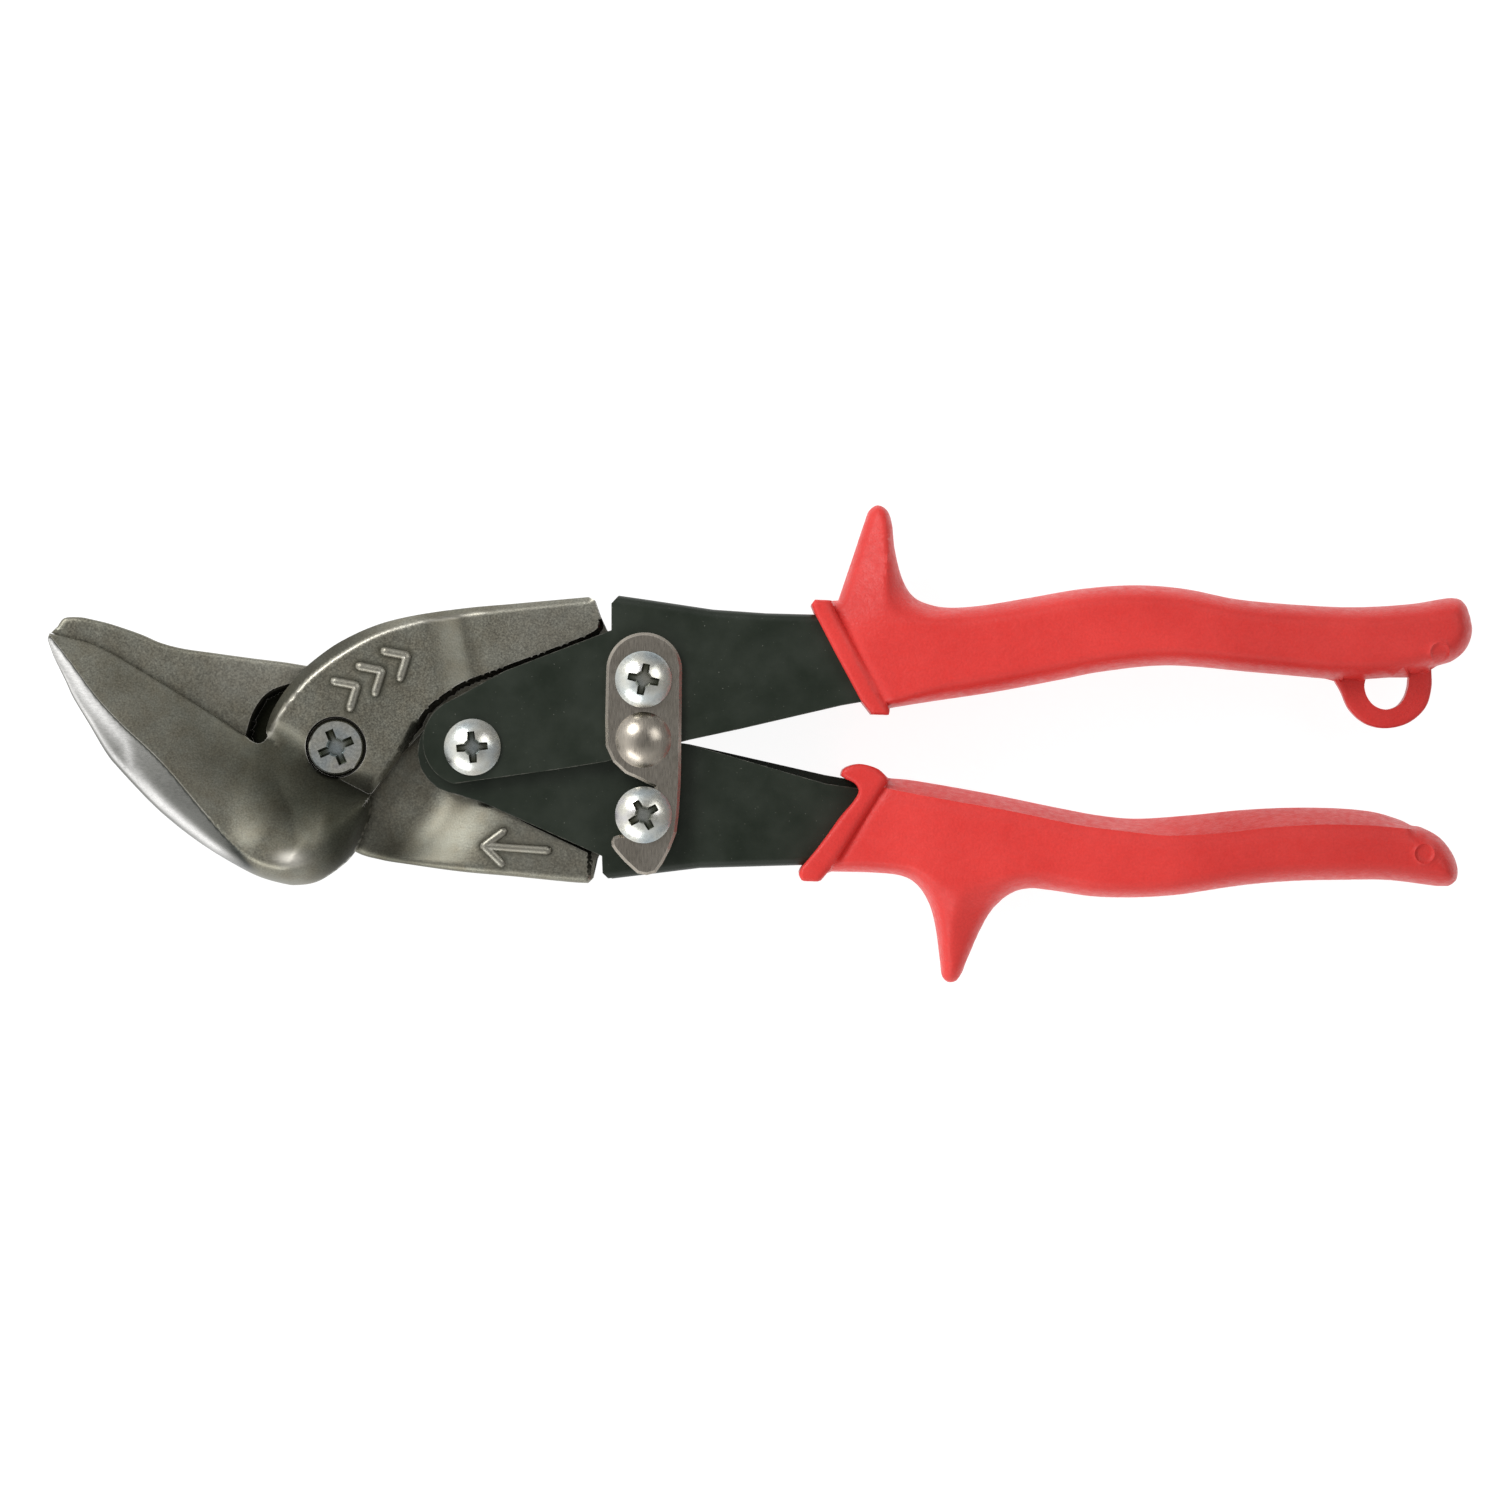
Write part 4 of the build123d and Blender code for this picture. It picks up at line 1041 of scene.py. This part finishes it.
def black_paint():
    made, tree, shader = material(
        "black_paint_look", (0.026, 0.031, 0.026), 0.0, 0.36, Specular_IOR_Level=0.38,
    )
    where = place(tree)
    cloud = noise(tree, where, 7.0, 4.0, 0.6)
    orange_peel = noise(tree, where, 0.7, 2.0, 0.5)
    dust = noise(tree, where, 0.33, 2.0, 0.5)
    tone = ramp(tree, cloud, [(0.3, (0.009, 0.014, 0.008)), (0.7, (0.016, 0.022, 0.014))])
    tone = blend_color(tree, ramp(tree, dust, [(0.735, 0.0), (0.76, 0.55)]), tone, (0.22, 0.22, 0.19))
    chips = ramp(tree, noise(tree, where, 1.6, 4.0, 0.7), [(0.40, 0.12), (0.62, 0.85)])
    rub = math_node(tree, "MULTIPLY", edges(tree, 0.28), chips)
    tone = blend_color(tree, rub, tone, (0.20, 0.19, 0.165))
    surface(tree, shader, tone, spread(tree, cloud, 0.30, 0.46))
    bumps(tree, shader, orange_peel, 0.03, 0.35)
    return made


def zinc_steel():
    made, tree, shader = material("zinc_steel_look", (0.60, 0.62, 0.62), 1.0, 0.26)
    where = place(tree)
    tint = noise(tree, where, 4.5, 2.0, 0.5)
    fine = noise(tree, where, 0.45, 2.0, 0.6)
    tone = ramp(tree, tint, [
        (0.30, (0.48, 0.54, 0.56)), (0.45, (0.60, 0.62, 0.59)),
        (0.60, (0.63, 0.62, 0.55)), (0.74, (0.57, 0.56, 0.58)),
    ])
    tone = times(tree, tone, ramp(tree, fine, [(0.3, 0.92), (0.65, 1.04)]))
    # Painted shade in recesses and corners, such as the cross recess.
    tone = times(tree, tone, crevice_shade(tree, 1.8, (0.16, 0.17, 0.12), (0.35, 0.84)))
    surface(tree, shader, tone, spread(tree, fine, 0.22, 0.32))
    bumps(tree, shader, fine, 0.008, 0.5)
    return made


def satin_latch():
    made, tree, shader = material("satin_latch_look", (0.36, 0.33, 0.30), 1.0, 0.36)
    where = place(tree)
    brush = noise(tree, place(tree, (3.0, 0.35, 1.0)), 0.5, 2.0, 0.5)
    cloud = noise(tree, where, 4.0, 3.0, 0.6)
    tone = ramp(tree, cloud, [(0.3, (0.35, 0.315, 0.265)), (0.7, (0.44, 0.40, 0.345))])
    tone = times(tree, tone, ramp(tree, brush, [(0.3, 0.90), (0.7, 1.08)]))
    # Painted highlight along the edges of the plate.
    tone = blend_color(tree, math_node(tree, "MULTIPLY", edges(tree, 0.30), 0.85), tone, (0.72, 0.69, 0.64))
    surface(tree, shader, tone, spread(tree, brush, 0.24, 0.34))
    bumps(tree, shader, brush, 0.012, 0.5)
    return made


def spring_steel():
    made, tree, shader = material("spring_steel_look", (0.20, 0.19, 0.18), 1.0, 0.32)
    where = place(tree)
    cloud = noise(tree, where, 1.5, 3.0, 0.6)
    tone = ramp(tree, cloud, [(0.3, (0.14, 0.13, 0.12)), (0.7, (0.30, 0.28, 0.26))])
    surface(tree, shader, tone, spread(tree, cloud, 0.24, 0.42))
    bumps(tree, shader, noise(tree, where, 0.3), 0.02, 0.4)
    return made


def red_vinyl():
    made, tree, shader = material("red_vinyl_look", (0.70, 0.05, 0.045), 0.0, 0.42, Specular_IOR_Level=0.28)
    where = place(tree)
    cloud = noise(tree, where, 14.0, 3.0, 0.5)
    grain = noise(tree, where, 0.42, 3.0, 0.6)
    pits = noise(tree, where, 1.3, 3.0, 0.6)
    tone = ramp(tree, cloud, [(0.3, (0.63, 0.036, 0.031)), (0.7, (0.72, 0.049, 0.042))])
    # Painted shade: each sleeve darkens towards its tail end.
    along = node(tree, "SeparateXYZ", {"Vector": where}).outputs["X"]
    palm = {"Value": along, "From Min": 62.0, "From Max": 84.0}
    tail_shade = node(tree, "MapRange", palm).outputs["Result"]
    tone = blend_color(tree, tail_shade, tone, times(tree, tone, (0.86, 0.84, 0.84)))
    tone = times(tree, tone, ramp(tree, grain, [(0.3, 0.93), (0.7, 1.05)]))
    surface(tree, shader, tone, spread(tree, pits, 0.30, 0.52))
    height = math_node(tree, "MULTIPLY_ADD", pits, 0.6, grain)
    bumps(tree, shader, height, 0.09, 0.9)
    return made


makers = (forged_steel, black_paint, zinc_steel, satin_latch, spring_steel, red_vinyl)
looks = {make.__name__: make() for make in makers}
node_slots = {name: "zinc_steel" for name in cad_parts}
node_slots.update(upper_handle="black_paint", lower_handle="black_paint", latch_plate="satin_latch")
for name, cad_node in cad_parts.items():
    cad_node.data.materials.clear()
    cad_node.data.materials.append(looks[node_slots[name]])
for piece in (front_jaw, rear_jaw, front_marks, rear_marks):
    piece.data.materials.append(looks["forged_steel"])
for piece in (upper_grip, lower_grip):
    piece.data.materials.append(looks["red_vinyl"])
spring.data.materials.append(looks["spring_steel"])


def front_polish_and_painted_sheen(x, y, z):
    """The ground outer strip of the blade: where it is ground, with painted shade on its dark inner side and
    painted highlight towards its bright rim.
    """
    from_ridge, along = near(x, y, RIDGE)
    from_outer, _ = near(x, y, OUTER)
    across = share_of(from_ridge, from_outer)
    center = np.interp(
        along, [0, 0.14, 0.30, 0.36, 0.46, 0.62, 0.74], [0.34, 0.38, 0.30, 0.74, 0.80, 0.74, 0.66],
    )
    width = np.interp(along, [0, 0.14, 0.30, 0.40, 0.62, 0.74], [0.42, 0.34, 0.20, 0.14, 0.18, 0.26])
    base = np.interp(along, [0, 0.20, 0.32, 0.45, 0.66], [0.72, 0.60, 0.50, 0.42, 0.33])
    top = np.interp(along, [0, 0.18, 0.28, 0.36, 0.46, 0.62, 0.74], [1.0, 0.95, 0.85, 0.70, 0.97, 0.97, 0.62])
    value = mix(base, top, hump(across, center, width))
    line = smooth(0.05, 0.12, along) * (1 - smooth(0.42, 0.52, along))
    value = mix(value, 0.90, line * hump(across, 0.86, 0.07))
    value = mix(value, 0.30, smooth(0.92, 0.98, across))
    fade = 1 - smooth(0.62, 0.76, along)
    return value * smooth(0.0, 0.5, from_ridge) * inside(x, y, STRIP) * fade * (z > 0.2)


def mark_shadow(x, y, runs):
    """Painted shadow in the corner round a raised stroke."""
    away = np.min([near(x, y, run)[0] for run in runs], axis=0)
    return 0.55 * hump(away, 0.9, 0.45)


def front_painted_shade(x, y, z):
    """Painted shade: heavy on the blade's climb, in the valley and on the heel, light on the flats."""
    in_blade = inside(x, y, BLADE)
    to_cut, _ = near(x, y, CUT_EDGE)
    to_outer, _ = near(x, y, OUTER)
    u = blade_run(x, y)
    across = share_of(to_cut, to_outer)
    most = np.interp(u, [0, 0.25, 0.5, 0.65, 0.85, 1], [0.06, 0.14, 0.40, 0.72, 0.84, 0.84])
    start = np.interp(u, [0, 0.5, 0.75, 1], [0.10, 0.15, 0.30, 0.40])
    end = np.interp(u, [0, 0.5, 0.75, 1], [0.62, 0.70, 0.86, 1.0])
    blade = most * (1 - smooth(start, end, across))
    heel = 0.86 * smooth(-77.0, -69.5, x + 0.2 * (y + 14))
    to_valley, _ = near(x, y, VALLEY)
    boss = 0.74 * hump(to_valley, 0, 2.8) * smooth(-82.0, -78.0, x)
    to_arc, share = near(x, y, BOSS_ARC)
    side = 0.62 * (to_arc < rim_band(share) - 0.3) * (1 - smooth(0.30, 0.50, share)) * (y > 0.5)
    boss = np.maximum(np.maximum(boss, side), mark_shadow(x, y, chevrons))
    return np.clip(np.where(in_blade, np.maximum(blade, heel), boss), 0, 1) * (z > 0.1)


def front_highlight(x, y, z):
    """Painted highlight on the top of the bulge and along the rim of the boss; the tail is lightened a
    little.
    """
    bulge_highlight = hump(x, -76.9, 2.1) * hump(y, -18.9, 1.05)
    to_arc, share = near(x, y, BOSS_ARC)
    rim = 0.42 * hump(to_arc, rim_band(share), 0.28) * (y > 1.0) * (1 - 0.6 * smooth(0.5, 0.8, share))
    tail = 0.10 * smooth(-47.0, -37.0, x)
    return np.maximum(np.maximum(bulge_highlight, rim), tail) * (z > 2)


def rear_painted_shade(x, y, z):
    """Painted shade: black in the crescent, lighter on the heel and round the arrow."""
    pit = 0.97 * smooth(-0.1, 0.3, depth(x, y, CRESCENT)) * (z > -3.5)
    heel = 0.50 * hump(x, -59.5, 6.5) * hump(y, -17.0, 4.2)
    return np.maximum(np.maximum(pit, heel), mark_shadow(x, y, arrow))


def rear_highlight(x, y, z):
    """Lightens the fin a little, and the end of the tail, with the painted highlight colour."""
    fin = 0.10 * smooth(-98.0, -84.0, x) * smooth(5.0, 9.0, y) * (1 - smooth(0.0, 1.5, depth(x, y, CRESCENT)))
    return np.maximum(fin, 0.05 * smooth(-46.0, -38.0, x) * (y < 0)) * (z > -1)


# Painted highlight: the raised strokes are lightened all over.
def marks_highlight(x, y, z):
    return np.full(len(x), 0.16)


# Painted shade and painted highlight are stored on the jaws and marks here, together with where the blade's
# strip is ground and its painted bands.
paint(front_jaw, "polish_and_painted_sheen", front_polish_and_painted_sheen)
paint(front_jaw, "scale", front_painted_shade)
paint(front_jaw, "painted_highlight", front_highlight)
paint(rear_jaw, "scale", rear_painted_shade)
paint(rear_jaw, "painted_highlight", rear_highlight)
paint(front_marks, "painted_highlight", marks_highlight)
paint(rear_marks, "painted_highlight", marks_highlight)

# ---------------- floor

floor_mesh = bpy.data.meshes.new("floor")
SPREAD = 1.5
corners = [(-SPREAD, -SPREAD, 0), (SPREAD, -SPREAD, 0), (SPREAD, SPREAD, 0), (-SPREAD, SPREAD, 0)]
floor_mesh.from_pydata(corners, [], [(0, 1, 2, 3)])
floor = bpy.data.objects.new("floor", floor_mesh)
floor.location.z = -0.0002
scene.collection.objects.link(floor)
paper, paper_tree, paper_shader = material(
    "paper_floor", (0.90, 0.90, 0.90), 0.0, 0.9, Specular_IOR_Level=0.1,
    Emission_Color=(1.0, 1.0, 1.0, 1.0), Emission_Strength=0.92,
)
fibre = noise(paper_tree, place(paper_tree), 1.2, 3.0, 0.6)
paper_tree.links.new(ramp(paper_tree, fibre, [(0.3, 0.19), (0.7, 0.23)]), paper_shader.inputs["Base Color"])
floor_mesh.materials.append(paper)
